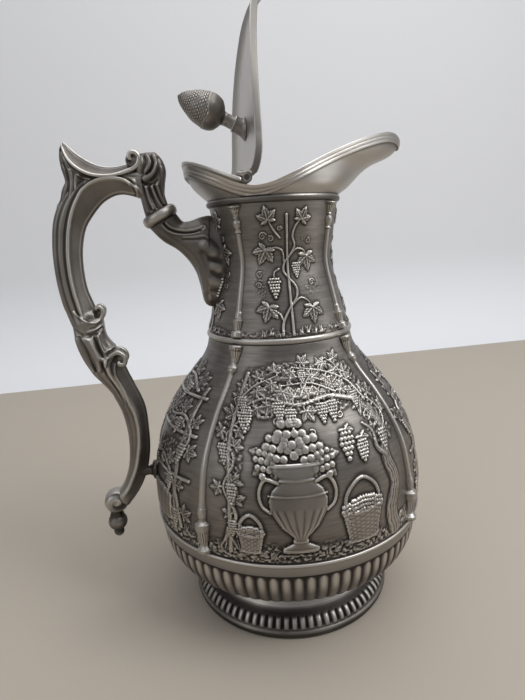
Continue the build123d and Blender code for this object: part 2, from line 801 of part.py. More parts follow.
# Curled end of the tail with its bead and drop
curl_x = handle_x - 54.0
curl_z = handle_z - 100.6
bead_ball_z = curl_z - 10.2
drop_z = bead_ball_z - 5.0
with BuildPart() as handle_terminal:
    with BuildSketch(Plane.XZ):
        with Locations((curl_x, curl_z)):
            Circle(5.0)
    extrude(amount=tail_width / 2, both=True)
    fillet(handle_terminal.edges(), 1.2)
    with Locations((curl_x - 0.6, 0, bead_ball_z)):
        Sphere(bead_ball_radius)
    with Locations((curl_x - 0.3, 0, curl_z - 5.4)):
        Cylinder(2.9, 3.6)
    with Locations((curl_x - 1.2, 0, drop_z)):
        Sphere(2.3)
    add(handle_tail.part, mode=Mode.SUBTRACT)

# Peg and pad, which hold the tail off the belly
peg_z = handle_z - 88.5
with BuildPart() as handle_peg:
    with BuildSketch(Plane.YZ.offset(handle_x - 43.0)):
        with Locations((0, peg_z)):
            Circle(peg_radius)
    extrude(amount=45)
    with BuildSketch(Plane.YZ.offset(-belly_radius - pad_thickness)):
        with Locations((0, peg_z)):
            Circle(pad_radius)
    extrude(amount=45)
    add(handle_tail.part, mode=Mode.SUBTRACT)
    add(belly_envelope, mode=Mode.SUBTRACT)

# Labels and files
foot_ring.part.label = "foot_ring"
lower_bowl.part.label = "lower_bowl"
girdle_band.part.label = "girdle_band"
belly_shell.part.label = "belly_shell"
belly_columns.part.label = "belly_columns"
neck_ring.part.label = "neck_ring"
neck_shell.part.label = "neck_shell"
neck_columns.part.label = "neck_columns"
collar_bead.part.label = "collar_bead"
spout_collar.part.label = "spout_collar"
rear_cover.part.label = "rear_cover"
hinge_pin.part.label = "hinge_pin"
lid.part.label = "lid"
finial_stem.part.label = "finial_stem"
finial_bud.part.label = "finial_bud"
finial_stud.part.label = "finial_stud"
finial_nut.part.label = "finial_nut"
handle_bracket.part.label = "handle_bracket"
handle_ring.part.label = "handle_ring"
handle_knuckle.part.label = "handle_knuckle"
handle_ledge.part.label = "handle_ledge"
handle_grip.part.label = "handle_grip"
handle_leaf.part.label = "handle_leaf"
handle_tail.part.label = "handle_tail"
handle_terminal.part.label = "handle_terminal"
handle_peg.part.label = "handle_peg"

os.makedirs("parts", exist_ok=True)
export_step(foot_ring.part, "parts/foot_ring.step")
export_step(lower_bowl.part, "parts/lower_bowl.step")
export_step(girdle_band.part, "parts/girdle_band.step")
export_step(belly_shell.part, "parts/belly_shell.step")
export_step(belly_columns.part, "parts/belly_columns.step")
export_step(neck_ring.part, "parts/neck_ring.step")
export_step(neck_shell.part, "parts/neck_shell.step")
export_step(neck_columns.part, "parts/neck_columns.step")
export_step(collar_bead.part, "parts/collar_bead.step")
export_step(spout_collar.part, "parts/spout_collar.step")
export_step(rear_cover.part, "parts/rear_cover.step")
export_step(hinge_pin.part, "parts/hinge_pin.step")
export_step(lid.part, "parts/lid.step")
export_step(finial_stem.part, "parts/finial_stem.step")
export_step(finial_bud.part, "parts/finial_bud.step")
export_step(finial_stud.part, "parts/finial_stud.step")
export_step(finial_nut.part, "parts/finial_nut.step")
export_step(handle_bracket.part, "parts/handle_bracket.step")
export_step(handle_ring.part, "parts/handle_ring.step")
export_step(handle_knuckle.part, "parts/handle_knuckle.step")
export_step(handle_ledge.part, "parts/handle_ledge.step")
export_step(handle_grip.part, "parts/handle_grip.step")
export_step(handle_leaf.part, "parts/handle_leaf.step")
export_step(handle_tail.part, "parts/handle_tail.step")
export_step(handle_terminal.part, "parts/handle_terminal.step")
export_step(handle_peg.part, "parts/handle_peg.step")
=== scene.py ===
import json
import math

import bpy
import numpy as np
from mathutils import Matrix, Vector

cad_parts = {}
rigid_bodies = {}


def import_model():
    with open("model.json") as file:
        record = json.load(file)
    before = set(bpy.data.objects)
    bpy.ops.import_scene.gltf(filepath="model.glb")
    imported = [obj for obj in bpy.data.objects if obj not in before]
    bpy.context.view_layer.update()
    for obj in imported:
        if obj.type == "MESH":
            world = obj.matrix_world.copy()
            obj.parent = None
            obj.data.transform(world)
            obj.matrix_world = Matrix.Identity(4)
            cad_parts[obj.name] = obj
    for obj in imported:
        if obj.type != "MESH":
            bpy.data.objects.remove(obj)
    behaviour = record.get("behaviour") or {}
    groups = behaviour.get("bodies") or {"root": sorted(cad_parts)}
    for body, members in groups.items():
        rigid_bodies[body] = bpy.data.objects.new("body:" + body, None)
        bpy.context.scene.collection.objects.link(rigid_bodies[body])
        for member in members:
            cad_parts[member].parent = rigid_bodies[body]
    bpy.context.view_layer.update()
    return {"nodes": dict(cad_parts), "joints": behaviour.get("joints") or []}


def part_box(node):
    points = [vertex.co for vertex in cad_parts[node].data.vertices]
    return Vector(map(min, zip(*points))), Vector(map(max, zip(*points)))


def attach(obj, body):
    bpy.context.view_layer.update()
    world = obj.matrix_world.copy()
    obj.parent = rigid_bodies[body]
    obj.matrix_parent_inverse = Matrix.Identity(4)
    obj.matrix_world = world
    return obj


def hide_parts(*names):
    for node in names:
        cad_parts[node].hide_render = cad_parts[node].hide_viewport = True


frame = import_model()
mm = 0.001  # all lengths below are millimetres; meshes are written in metres


def spanOf(node):
    # lowest and highest corner of a frame node, in millimetres
    low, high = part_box(node)
    return np.array(low) / mm, np.array(high) / mm


hingeAt = np.array(frame["joints"][0]["pos_m"]) / mm
print("frame loaded:", len(frame["nodes"]), "nodes")


# Curves and grids

def smoothLine(points, count):
    # cubic through the points, tangents from neighbours, even in chord length
    p = np.asarray(points, float)
    step = np.sqrt(((p[1:] - p[:-1]) ** 2).sum(1))
    t = np.concatenate([[0], np.cumsum(np.maximum(step, 1e-6))])
    want = np.linspace(0, t[-1], count)
    return smoothTable(want, t, p)


def smoothTable(want, t, p):
    # Hermite cubic of table p over t: h00 p0 + h10 m0 + h01 p1 + h11 m1
    t = np.asarray(t, float)
    p = np.asarray(p, float)
    flat = p.ndim == 1
    p = p[:, None] if flat else p
    slope = np.diff(p, axis=0) / np.diff(t)[:, None]
    m = np.concatenate([slope[:1], (slope[1:] + slope[:-1]) / 2, slope[-1:]])
    k = np.clip(np.searchsorted(t, want, side="right") - 1, 0, len(t) - 2)
    h = (t[k + 1] - t[k])[:, None]
    s = ((want - t[k])[:, None]) / h
    out = (2 * s**3 - 3 * s**2 + 1) * p[k] + (s**3 - 2 * s**2 + s) * h * m[k]
    out += (3 * s**2 - 2 * s**3) * p[k + 1] + (s**3 - s**2) * h * m[k + 1]
    return out[:, 0] if flat else out


def gridFaces(rows, cols, start=0, wrapRows=False, wrapCols=False):
    # quads of a grid whose point (i, j) has index start + i * cols + j
    i = np.arange(rows if wrapRows else rows - 1)
    j = np.arange(cols if wrapCols else cols - 1)
    a, b = np.meshgrid(i, j, indexing="ij")
    c, d = (a + 1) % rows, (b + 1) % cols
    quads = np.stack([a * cols + b, a * cols + d, c * cols + d, c * cols + b], -1)
    return (quads.reshape(-1, 4) + start).tolist()


def blurred(field, passes, wrap=False):
    # repeated 1-2-1 average along both grid directions; wrap closes the columns round
    out = np.asarray(field, float)
    for _ in range(passes):
        wide = np.pad(out, ((1, 1), (0, 0)), mode="edge")
        out = (wide[:-2] + 2 * out + wide[2:]) / 4
        wide = np.pad(out, ((0, 0), (1, 1)), mode="wrap" if wrap else "edge")
        out = (wide[:, :-2] + 2 * out + wide[:, 2:]) / 4
    return out


def loopNormals(points):
    # cross product of the two grid differences, made unit length; the columns close round
    pad = np.pad(points, ((1, 1), (0, 0), (0, 0)), mode="edge")
    du = pad[2:] - pad[:-2]
    pad = np.pad(points, ((0, 0), (1, 1), (0, 0)), mode="wrap")
    n = np.cross(du, pad[:, 2:] - pad[:, :-2])
    return n / np.maximum(np.linalg.norm(n, axis=-1, keepdims=True), 1e-9)


def runAlong(line):
    # length of the line from its first point to each point
    return np.concatenate([[0], np.cumsum(np.hypot(*np.diff(line, axis=0).T))])


def around(count):
    # angles of a full turn, without the last one that meets the first
    return np.linspace(0, 2 * np.pi, count, endpoint=False)


def sameAround(values, cols):
    # one value for each loop, the same all round
    return np.repeat(np.asarray(values, float)[:, None], cols, 1)


overY = np.array([1, -1, 1])  # turns a point over to the other side of the middle plane


def bothSides(side, flip=1.0):
    # loops over one side of the middle plane, continued back over the other
    return np.concatenate([side, side[:, ::-1] * flip], 1)


def loopFaces(points):
    # faces of a grid that closes round both ways
    return gridFaces(*points.shape[:2], 0, True, True)


def tubeFaces(points):
    # faces of a grid that closes round, then one flat face over each end
    rows, cols = points.shape[:2]
    last = (rows - 1) * cols
    return gridFaces(rows, cols, 0, False, True) + [list(range(cols))[::-1], list(range(last, last + cols))]


def joined(*parts):
    # several (points, faces, tone) made one, the tone being wear with painted light and shade; later faces count on
    # from the points before them
    points, faces, wearAndShade = [], [], []
    base = 0
    for more, moreFaces, moreWearAndShade in parts:
        points.append(np.reshape(more, (-1, 3)))
        faces += [[v + base for v in face] for face in moreFaces]
        wearAndShade.append(np.ravel(moreWearAndShade))
        base += len(points[-1])
    return np.concatenate(points), faces, np.concatenate(wearAndShade)


def makePiece(name, node, points, faces, wearAndShade, slot="pewter_antique", body="jug", flat=()):
    # one mesh from points in millimetres; faces turned outwards by the sign of its volume
    mesh = bpy.data.meshes.new(name)
    mesh.from_pydata((np.reshape(points, (-1, 3)) * mm).tolist(), [], faces)
    mesh.update()
    count = len(mesh.polygons)
    normals, centres, areas = np.zeros(count * 3), np.zeros(count * 3), np.zeros(count)
    for key, values in (("normal", normals), ("center", centres), ("area", areas)):
        mesh.polygons.foreach_get(key, values)
    if ((normals * centres).reshape(-1, 3).sum(1) * areas).sum() < 0:
        mesh.flip_normals()
    smooth = np.ones(count, bool)
    smooth[list(flat)] = False
    mesh.polygons.foreach_set("use_smooth", smooth)
    # the tone read by the material: wear and patina with painted highlights and painted shade
    shade = mesh.attributes.new("wearAndShade", "FLOAT", "POINT")
    shade.data.foreach_set("value", np.asarray(wearAndShade, np.float32).ravel())
    mesh.materials.append(finishes[slot])
    piece = bpy.data.objects.new(name, mesh)
    bpy.context.scene.collection.objects.link(piece)
    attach(piece, body)
    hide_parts(node)


def turned(profile, angles, swell=0):
    # (r, z) profile turned about Z: x = r cos a, y = r sin a; swell adds to r on the grid
    r = (profile[:, 0][:, None] + swell) * np.ones((1, len(angles)))
    z = profile[:, 1][:, None] * np.ones_like(r)
    return np.stack([r * np.cos(angles), r * np.sin(angles), z], -1)


# Materials

def addNode(tree, kind, inputs=None, **settings):
    # a shader node; each input gets a link from another node's socket, or else a value
    node = tree.nodes.new("ShaderNode" + kind)
    for key, value in settings.items():
        setattr(node, key, value)
    for key, value in (inputs or {}).items():
        if isinstance(value, bpy.types.NodeSocket):
            tree.links.new(value, node.inputs[key])
        else:
            node.inputs[key].default_value = value
    return node


def pewterMaterial(name, look):
    # dark to bright metal by the tone attribute, which holds wear and patina together with painted light and shade,
    # clouded by noise, with grain or brush marks
    material = bpy.data.materials.new(name)
    material.use_nodes = True
    tree = material.node_tree
    tree.nodes.clear()
    place = addNode(tree, "TexCoord").outputs["Object"]
    wearAndShade = addNode(tree, "Attribute", attribute_name="wearAndShade").outputs["Fac"]
    cloud = addNode(tree, "TexNoise", {"Vector": place, "Scale": look["cloudScale"], "Detail": 5}).outputs["Fac"]
    reach = {"From Min": 0.3, "From Max": 0.7, "To Min": -look["cloud"], "To Max": look["cloud"]}
    drift = addNode(tree, "MapRange", {"Value": cloud, **reach}).outputs["Result"]
    level = addNode(tree, "Math", {0: wearAndShade, 1: drift}, operation="ADD", use_clamp=True).outputs[0]

    ramp = addNode(tree, "ValToRGB", {"Fac": level})
    while len(ramp.color_ramp.elements) < len(look["colours"]):
        ramp.color_ramp.elements.new(0.5)
    for element, (at, colour) in zip(ramp.color_ramp.elements, look["colours"]):
        element.position = at
        element.color = (*colour, 1)

    stretch = addNode(tree, "Mapping", {"Vector": place, "Scale": look["brush"]}).outputs[0]
    fine = {"Vector": stretch, "Scale": 1.0, "Detail": 4, "Roughness": 0.6}
    grain = addNode(tree, "TexNoise", fine).outputs["Fac"]
    reach = {"Value": level, "To Min": look["roughDark"], "To Max": look["roughBright"]}
    rough = addNode(tree, "MapRange", reach).outputs["Result"]
    parts = {0: grain, 1: look["roughGrain"], 2: rough}
    uneven = addNode(tree, "Math", parts, operation="MULTIPLY_ADD").outputs[0]
    bump = addNode(tree, "Bump", {"Strength": look["bump"], "Distance": 0.0002, "Height": grain}).outputs[0]
    surface = {"Metallic": 1.0, "Base Color": ramp.outputs["Color"], "Roughness": uneven, "Normal": bump}
    shader = addNode(tree, "BsdfPrincipled", surface).outputs[0]
    addNode(tree, "OutputMaterial", {0: shader})
    return material


antiqueLook = {
    "colours": [
        (0.0, (0.018, 0.016, 0.015)),
        (0.36, (0.1, 0.09, 0.082)),
        (0.5, (0.27, 0.25, 0.23)),
        (0.68, (0.5, 0.475, 0.44)),
        (1.0, (0.74, 0.71, 0.67)),
    ],
    "cloud": 0.06,
    "cloudScale": 45,
    "brush": (160, 160, 1400),
    "roughDark": 0.5,
    "roughBright": 0.22,
    "roughGrain": 0.14,
    "bump": 0.32,
}
satinLook = {
    "colours": [
        (0.0, (0.1, 0.092, 0.085)),
        (0.4, (0.38, 0.36, 0.335)),
        (0.55, (0.5, 0.475, 0.445)),
        (1.0, (0.7, 0.68, 0.64)),
    ],
    "cloud": 0.05,
    "cloudScale": 30,
    "brush": (220, 220, 1800),
    "roughDark": 0.45,
    "roughBright": 0.26,
    "roughGrain": 0.12,
    "bump": 0.15,
}
steelLook = dict(satinLook, colours=[(0.0, (0.13, 0.12, 0.11)), (1.0, (0.4, 0.38, 0.36))])
finishes = {
    "pewter_antique": pewterMaterial("antiquePewter", antiqueLook),
    "pewter_satin": pewterMaterial("satinPewter", satinLook),
}
steel = pewterMaterial("drawnSteel", steelLook)
print("materials made")


# Foot, bowl and girdle

footSize = {
    "flutes": 80,
    "fluteDepth": 0.75,
    "fluteWidth": 0.72,
    "perFlute": 14,
    "wall": 2.2,
    "clearance": 0.2,
    "neckInset": 7.4,
    # insets from the outer radius, and heights
    "edge": [(0.6, 0), (0.05, 0.5), (-0.15, 1.5), (0, 2.5), (0.45, 3.1)],
    "shoulder": [(0.7, 3.3), (1.3, 4.9), (2.7, 6.8), (5.1, 8.6), (6.2, 9.8)],
    "neck": [(6.4, 10.1), (6.7, 10.6), (7.05, 11.2)],
}
bowlSize = {
    "gadroons": 78,
    "gadroonDepth": 1.0,
    "gadroonWidth": 0.94,
    "coveHeight": 9.3,
    "coveRadius": 46.6,
    "perGadroon": 14,
    "wall": 2.0,
}

girdleSize = {
    # insets from the outer radius, heights over the base, and tone, kept dark on the band
    "band": [(3.2, 0, 0.2), (1.3, 0, 0.2), (1.05, 0.25, 0.3)],
    # insets, depths under the top, and tone: the groove under the edge line painted dark as shade, the rounded edge
    # line painted bright as a highlight, the top face dark
    "edge": [
        (0.55, 1.7, 0.3), (0.62, 1.35, 0.18), (0.2, 1.15, 0.4), (0.02, 0.8, 0.8), (0.02, 0.45, 0.8), (0.2, 0.12, 0.6),
        (0.5, 0, 0.2), (3.4, 0, 0.2),
    ],
}


def tongue(phase, width):
    # cross-section of one rounded rib over its pitch: sqrt(1 - x^2) inside its width, 0 beside it
    x = (np.mod(phase, 1.0) - 0.5) * 2 / width
    return np.sqrt(np.clip(1 - x**2, 0, 1))


def ease(x, low, high):
    # smooth step from 0 at low to 1 at high
    s = np.clip((x - low) / (high - low), 0, 1)
    return s * s * (3 - 2 * s)


def makeFoot(size):
    # closed profile: outside up the edge and shoulder, back down the hollow inside
    high = spanOf("foot_ring")[1]
    radius, top = high[0] - size["clearance"], high[2]
    neckRadius = radius - size["neckInset"]
    wall = size["wall"]

    def outline(key, count, more=()):
        return smoothLine([(radius - inset, z) for inset, z in size[key]] + list(more), count)

    edge, shoulder, neck = outline("edge", 12), outline("shoulder", 26), outline("neck", 7, [(neckRadius, top)])
    inside = [
        (neckRadius - wall, top), (neckRadius - wall, top - 1.5), (radius - wall - 1.5, 4.2), (radius - wall - 1.2, 0),
    ]
    profile = np.concatenate([edge, shoulder, neck, inside])
    r, z = profile.T
    angles = around(size["flutes"] * size["perFlute"])
    along = np.full(len(profile), -1.0)
    along[len(edge) : len(edge) + len(shoulder)] = np.linspace(0, 1, len(shoulder))
    live = (along >= 0) * 1.0
    mask = (live * ease(along, 0.02, 0.12) * (1 - ease(along, 0.5, 0.68)))[:, None]
    rib = tongue(angles * size["flutes"] / (2 * np.pi), size["fluteWidth"])[None, :]
    points = turned(profile, angles, mask * (rib - 0.75) * size["fluteDepth"])
    # ribs painted bright and the gaps between them dark, as painted highlight and shade; the flutes' upper ends
    # painted darker as shade; the shoulder's top next to the neck, the neck's top and a thin line on the edge painted
    # bright as highlights
    wearAndShade = np.clip(0.34 + mask * (rib - 0.58) * 0.66, 0, 1)
    wearAndShade = wearAndShade + (live * (0.3 * ease(along, 0.8, 1.0) - 0.16 * ease(along, 0.5, 0.66)))[:, None]
    wearAndShade = wearAndShade + 0.3 * ((z > 9.9) & (r > neckRadius - 0.1))[:, None]
    wearAndShade = wearAndShade + 0.1 * ((z > 2.3) & (z < 3.2) & (r > radius - 1))[:, None]
    makePiece("foot", "foot_ring", points, loopFaces(points), wearAndShade)


def makeBowl(size):
    # cove, then gadroons like rounded tongues standing side by side, then the plain inside and floor
    low, high = spanOf("lower_bowl")
    radius = high[0]
    base, top = low[2], high[2]
    footNeck = spanOf("foot_ring")[1][0] - footSize["clearance"] - footSize["neckInset"]
    cove = base + size["coveHeight"]
    rise = top - cove
    coveRadius = size["coveRadius"]
    spread = radius - coveRadius
    lower = smoothLine(
        [
            (footNeck, base),
            (footNeck + 1.9, base + 0.27 * size["coveHeight"]),
            (footNeck + 5.4, base + 0.6 * size["coveHeight"]),
            (coveRadius - 0.5, cove - 0.35),
        ],
        18,
    )
    upper = smoothLine(
        [
            (coveRadius, cove),
            (coveRadius + 0.54 * spread, cove + 0.18 * rise),
            (coveRadius + 0.89 * spread, cove + 0.57 * rise),
            (radius, top),
        ],
        44,
    )
    inside = np.array(
        [
            (radius - size["wall"], top),
            (coveRadius + 0.89 * spread - size["wall"], cove + 0.57 * rise),
            (coveRadius + 0.5 * spread - size["wall"], cove + 0.2 * rise + 1),
            (coveRadius - size["wall"], cove + size["wall"]),
            (footNeck - size["wall"], base + size["wall"]),
            (8, base + size["wall"]),
            (0.01, base + size["wall"]),
            (0.01, base),
        ]
    )
    profile = np.concatenate([lower, upper, inside])
    angles = around(size["gadroons"] * size["perGadroon"])
    along = np.full(len(profile), -1.0)
    along[len(lower) : len(lower) + len(upper)] = np.linspace(0, 1, len(upper))
    live = (along >= 0)[:, None]
    phase = (angles * size["gadroons"] / (2 * np.pi))[None, :]
    x = (np.mod(phase, 1.0) - 0.5) * 2
    roundTop = 1 - np.clip((along[:, None] - 0.86) / 0.1, 0, 1) ** 2  # half-round upper ends
    width = size["gadroonWidth"] * np.sqrt(np.clip(roundTop, 0, 1)) * np.ones_like(x)
    rib = np.where(np.abs(x) < width, np.sqrt(np.clip(1 - (x / np.maximum(width, 1e-3)) ** 2, 0, 1)), 0)
    rib = np.where(live, rib, 0)
    fade = np.where(live, ease(along[:, None], 0.2, 0.34), 0)
    body = np.where(live & (along[:, None] < 0.97), 1.0, 0.0)
    swell = body * fade * ((rib - 1.0) * size["gadroonDepth"] + 0.25)
    points = turned(profile, angles, swell)
    points[-2:, :, :2] *= 0
    # ribs painted bright and grooves dark as painted highlight and shade, a painted highlight on each tongue's upper
    # part, and the cove painted bright as light where it sits in shade
    wearAndShade = np.where(live, 0.56 + fade * (0.3 * rib - 0.4), 0.5) * np.ones((len(profile), len(angles)))
    wearAndShade = wearAndShade + np.where(live, 0.26 * rib**4 * ease(along[:, None], 0.55, 0.85), 0)
    wearAndShade[: len(lower)] = 0.8
    makePiece("bowl", "lower_bowl", points, loopFaces(points), wearAndShade)


def makeGirdle(size):
    # plain band, a little wider upwards, with a rounded edge line at its top painted bright as a highlight
    low, high = spanOf("girdle_band")
    rows = [(inset, low[2] + lift, wearAndShade) for inset, lift, wearAndShade in size["band"]]
    rows += [(inset, high[2] - drop, wearAndShade) for inset, drop, wearAndShade in size["edge"]]
    inset, z, wearAndShade = np.array(rows).T
    points = turned(np.stack([high[0] - inset, z], -1), around(320))
    makePiece("girdle", "girdle_band", points, loopFaces(points), sameAround(wearAndShade, 320), "pewter_satin")


makeFoot(footSize)
makeBowl(bowlSize)
makeGirdle(girdleSize)
print("foot, bowl and girdle made")


# Relief: every ornament is a height, in millimetres, over panel places (across, up)

def valueNoise(x, y, cell, seed):
    # smooth noise from -1 to 1: random lattice values blended with s^2 (3 - 2 s)
    lattice = np.random.default_rng(seed).uniform(-1, 1, (64, 64))
    u, v = np.asarray(x) / cell, np.asarray(y) / cell
    i, j = np.floor(u).astype(int), np.floor(v).astype(int)
    a, b = u - i, v - j
    a, b = a * a * (3 - 2 * a), b * b * (3 - 2 * b)
    i, j = i % 64, j % 64
    i2, j2 = (i + 1) % 64, (j + 1) % 64
    low = lattice[i, j] * (1 - a) + lattice[i2, j] * a
    high = lattice[i, j2] * (1 - a) + lattice[i2, j2] * a
    return low * (1 - b) + high * b


class Panel:
    # a height field over one panel of a turned wall; stamps raise it inside their own window
    def __init__(self, radii, rises, angles):
        self.across = radii[:, None] * angles[None, :]
        self.up = rises[:, None] * np.ones((1, len(angles)))
        self.radii, self.rises, self.angles = radii, rises, angles
        self.height = np.zeros_like(self.across)

    def window(self, x, y, reach):
        # rows and columns of the grid within reach of (x, y)
        rows = np.nonzero(np.abs(self.rises - y) < reach)[0]
        if len(rows) == 0:
            return None
        r = self.radii[rows]
        near = np.nonzero((self.angles > (x - reach) / r.min()) & (self.angles < (x + reach) / r.min()))[0]
        far = np.nonzero((self.angles > (x - reach) / r.max()) & (self.angles < (x + reach) / r.max()))[0]
        cols = np.union1d(near, far)
        if len(cols) == 0:
            return None
        return slice(rows[0], rows[-1] + 1), slice(cols[0], cols[-1] + 1)

    def raiseTo(self, x, y, reach, turn, shape, blend=0.0):
        # shape(a, b) in the stamp's own axes, turned by turn; the highest of old and new stays
        found = self.window(x, y, reach)
        if found is None:
            return
        dx, dy = self.across[found] - x, self.up[found] - y
        c, s = math.cos(turn), math.sin(turn)
        new = shape(dx * c + dy * s, -dx * s + dy * c)
        old = self.height[found]
        lift = np.where(new > 0, new + blend * old, 0)
        self.height[found] = np.maximum(old, lift)

    def add(self, field):
        # raises the whole panel by a field
        self.height = self.height + field


def leafShape(size, relief):
    # union of pointed lobes from the stalk: edge raised, blade sunk, a rib down the middle of each
    lobes = ((0, 1.0), (0.95, 0.88), (-0.95, 0.88), (1.95, 0.6), (-1.95, 0.6))  # turn, share of the size

    def shape(x, y):
        best = np.zeros_like(x)
        for turn, share in lobes:
            length = size * share
            a = x * math.sin(turn) - y * math.cos(turn)
            b = x * math.cos(turn) + y * math.sin(turn)
            u = np.clip(a / length, 0, 1)
            half = 0.27 * length * np.sin(np.pi * u**0.8) ** 0.75 * (1 + 0.1 * np.sin(9 * np.pi * u)) + 1e-4
            q = np.abs(b) / half
            inside = (a > 0) & (a < length) & (q < 1)
            blade = 0.42 + 0.45 * q**2 * (1 - u * 0.4) + 0.5 * np.exp(-((b / (0.055 * size)) ** 2))
            vein = 0.16 * np.clip(np.cos(2 * np.pi * (a - 1.1 * np.abs(b)) / (0.24 * length)), 0, 1)
            edge = np.sqrt(np.clip(1 - q**6, 0, 1))
            tip = np.clip((1 - u) * 5, 0, 1)
            lobe = relief * (blade + vein) * edge * (0.35 + 0.65 * tip)
            best = np.maximum(best, np.where(inside, lobe, 0))
        return best

    return shape


def bunchShape(width, length, relief, seed):
    # grapes in staggered rows that narrow to the tip, each a half ball, over a low heart-shaped mound
    rows = max(4, int(length / (width * 0.2)))
    berry = 0.62 * length / rows
    random = np.random.default_rng(seed)
    places = []
    for row in range(rows):
        down = row / (rows - 1)
        half = width / 2 * math.sqrt(max(0.02, 1 - down**1.5)) * (1 if row else 0.75)
        count = max(1, int(round(2 * half / (1.55 * berry))))
        for k in range(count):
            x = (k - (count - 1) / 2) * 1.6 * berry + random.uniform(-0.12, 0.12) * berry
            places.append((x, -down * length, random.uniform(0.85, 1.05)))

    def shape(x, y):
        best = np.zeros_like(x)
        for px, py, k in places:
            d = ((x - px) ** 2 + (y - py) ** 2) / (berry * k) ** 2
            mound = 0.5 * relief * max(0.2, 1 - (px / (width * 0.6)) ** 2)
            ball = np.where(d < 1, mound + relief * 0.75 * np.sqrt(np.clip(1 - d, 0, 1)), 0)
            best = np.maximum(best, ball)
        return best

    return shape


def stroke(panel, points, startWidth, endWidth, relief, blend=0.3, bark=0.0, samples=None):
    # half-round cord along a curve: sqrt(1 - (d / w)^2) of the distance d to it, with bark grooves
    length = np.sqrt((np.diff(np.asarray(points, float), axis=0) ** 2).sum(1)).sum()
    count = samples or max(6, int(length / 0.8))
    line = smoothLine(points, count)
    widths = np.linspace(startWidth, endWidth, count) / 2
    middle = line.mean(0)
    reach = np.abs(line - middle).max() + widths.max() + 0.5
    found = panel.window(middle[0], middle[1], reach)
    if found is None:
        return
    x, y = panel.across[found], panel.up[found]
    best = np.zeros_like(x)
    for k in range(count - 1):
        a, b = line[k], line[k + 1]
        e = b - a
        t = np.clip(((x - a[0]) * e[0] + (y - a[1]) * e[1]) / max(e @ e, 1e-9), 0, 1)
        gapX, gapY = x - a[0] - t * e[0], y - a[1] - t * e[1]
        w = widths[k] + t * (widths[k + 1] - widths[k])
        q = (gapX**2 + gapY**2) / w**2
        side = (gapX * -e[1] + gapY * e[0]) / max(math.sqrt(e @ e), 1e-9) / w
        groove = 1 - bark * np.cos(side * 7 + 0.8 * math.sin(k * 0.9)) ** 2
        scale = relief * w / max(widths.max(), 1e-6) if startWidth != endWidth else relief
        best = np.maximum(best, np.where(q < 1, scale * np.sqrt(np.clip(1 - q, 0, 1)) * groove, 0))
    old = panel.height[found]
    panel.height[found] = np.maximum(old, np.where(best > 0, best + blend * old, 0))


def tendril(panel, x, y, size, turn, hand, relief=0.35, width=0.55):
    # spiral r = size (1 - 0.8 t), 1.4 turns in
    t = np.linspace(0, 1, 20)
    angle = turn + hand * t * 2 * np.pi * 1.4
    r = size * (1 - 0.8 * t)
    points = np.stack([x + r * np.cos(angle), y + r * np.sin(angle)], -1)
    stroke(panel, points, width, width * 0.7, relief, samples=26)


def turnedShape(profile, relief, flutes=0, weave=0.0):
    # a standing vessel seen from the side: height sqrt(1 - (x / half(y))^2), half from the profile
    halves, ys = np.array(profile, float).T

    def shape(x, y):
        half = np.interp(y, ys, halves, left=0, right=0)
        q = np.abs(x) / np.maximum(half, 1e-3)
        inside = (q < 1) & (half > 0)
        h = relief * (0.25 + 0.75 * np.sqrt(np.clip(1 - q**2, 0, 1)))
        turn = np.arcsin(np.clip(x / np.maximum(half, 1e-3), -1, 1))
        if flutes:
            low = ys[0] + 0.22 * (ys[-1] - ys[0])
            mid = ys[0] + 0.5 * (ys[-1] - ys[0])
            band = ease(y, low - 2, low) * (1 - ease(y, mid - 1, mid + 1))
            h = h + 0.22 * relief * band * (np.abs(np.cos(turn * flutes / 2)) - 0.6)
        if weave:
            rows = np.sin(y * 2 * np.pi / 1.5)
            cells = np.sign(np.sin(turn * 11)) * np.sign(rows)
            h = h + weave * (0.5 * np.abs(rows) + 0.5 * np.abs(np.sin(turn * 11)) * (cells > 0))
        return np.where(inside, h, 0)

    return shape


def caskShape(length, width, relief):
    # lying cask from the side: bulged half width, stave grooves along, hoops across
    def shape(x, y):
        u = np.clip(np.abs(x) / (length / 2), 0, 1)
        half = width / 2 * (1 - 0.24 * u**2)
        q = np.abs(y) / half
        inside = (np.abs(x) < length / 2) & (q < 1)
        h = relief * (0.3 + 0.7 * np.sqrt(np.clip(1 - q**2, 0, 1)))
        stave = np.abs(np.sin(np.arcsin(np.clip(y / half, -1, 1)) * 5))
        h = h - 0.16 * np.exp(-((stave / 0.22) ** 2))
        for at in (0.3, 0.62, 0.93):
            h = h + 0.22 * np.exp(-(((u - at) * length / 2 / 0.75) ** 6))
        return np.where(inside, h, 0)

    return shape


def caskEndShape(radius, relief):
    # cask end: hoop round the rim, sunk head with boards and a bung
    def shape(x, y):
        r = np.sqrt(x**2 + y**2)
        hoop = 0.95 * np.exp(-(((r - radius * 0.93) / (radius * 0.1)) ** 4))
        head = 0.55 - 0.2 * np.exp(-((np.sin(x * np.pi / (radius * 0.36)) / 0.25) ** 2))
        bar = 0.2 * (np.abs(y) < radius * 0.16)
        bung = 0.4 * np.exp(-(((x**2 + (y + radius * 0.45) ** 2) / (radius * 0.12) ** 2) ** 2))
        body = np.where(r < radius * 0.86, head + bar + bung, hoop)
        return np.where(r < radius, relief * body * np.sqrt(np.clip(1 - (r / radius) ** 12, 0, 1)), 0)

    return shape


def rubble(panel, low, high, relief, seed):
    # broken ground: small noise lumps that fade out upwards
    x, y = panel.across, panel.up
    lumps = valueNoise(x, y * 1.5, 1.3, seed) * 0.6 + valueNoise(x, y * 1.3, 0.7, seed + 1) * 0.5
    edge = valueNoise(x, y * 0, 6.0, seed + 2) * (high - low) * 0.35
    mask = 1 - ease(y, low + edge, high + edge)
    panel.add(mask * relief * np.clip(0.35 + lumps, 0, 1))


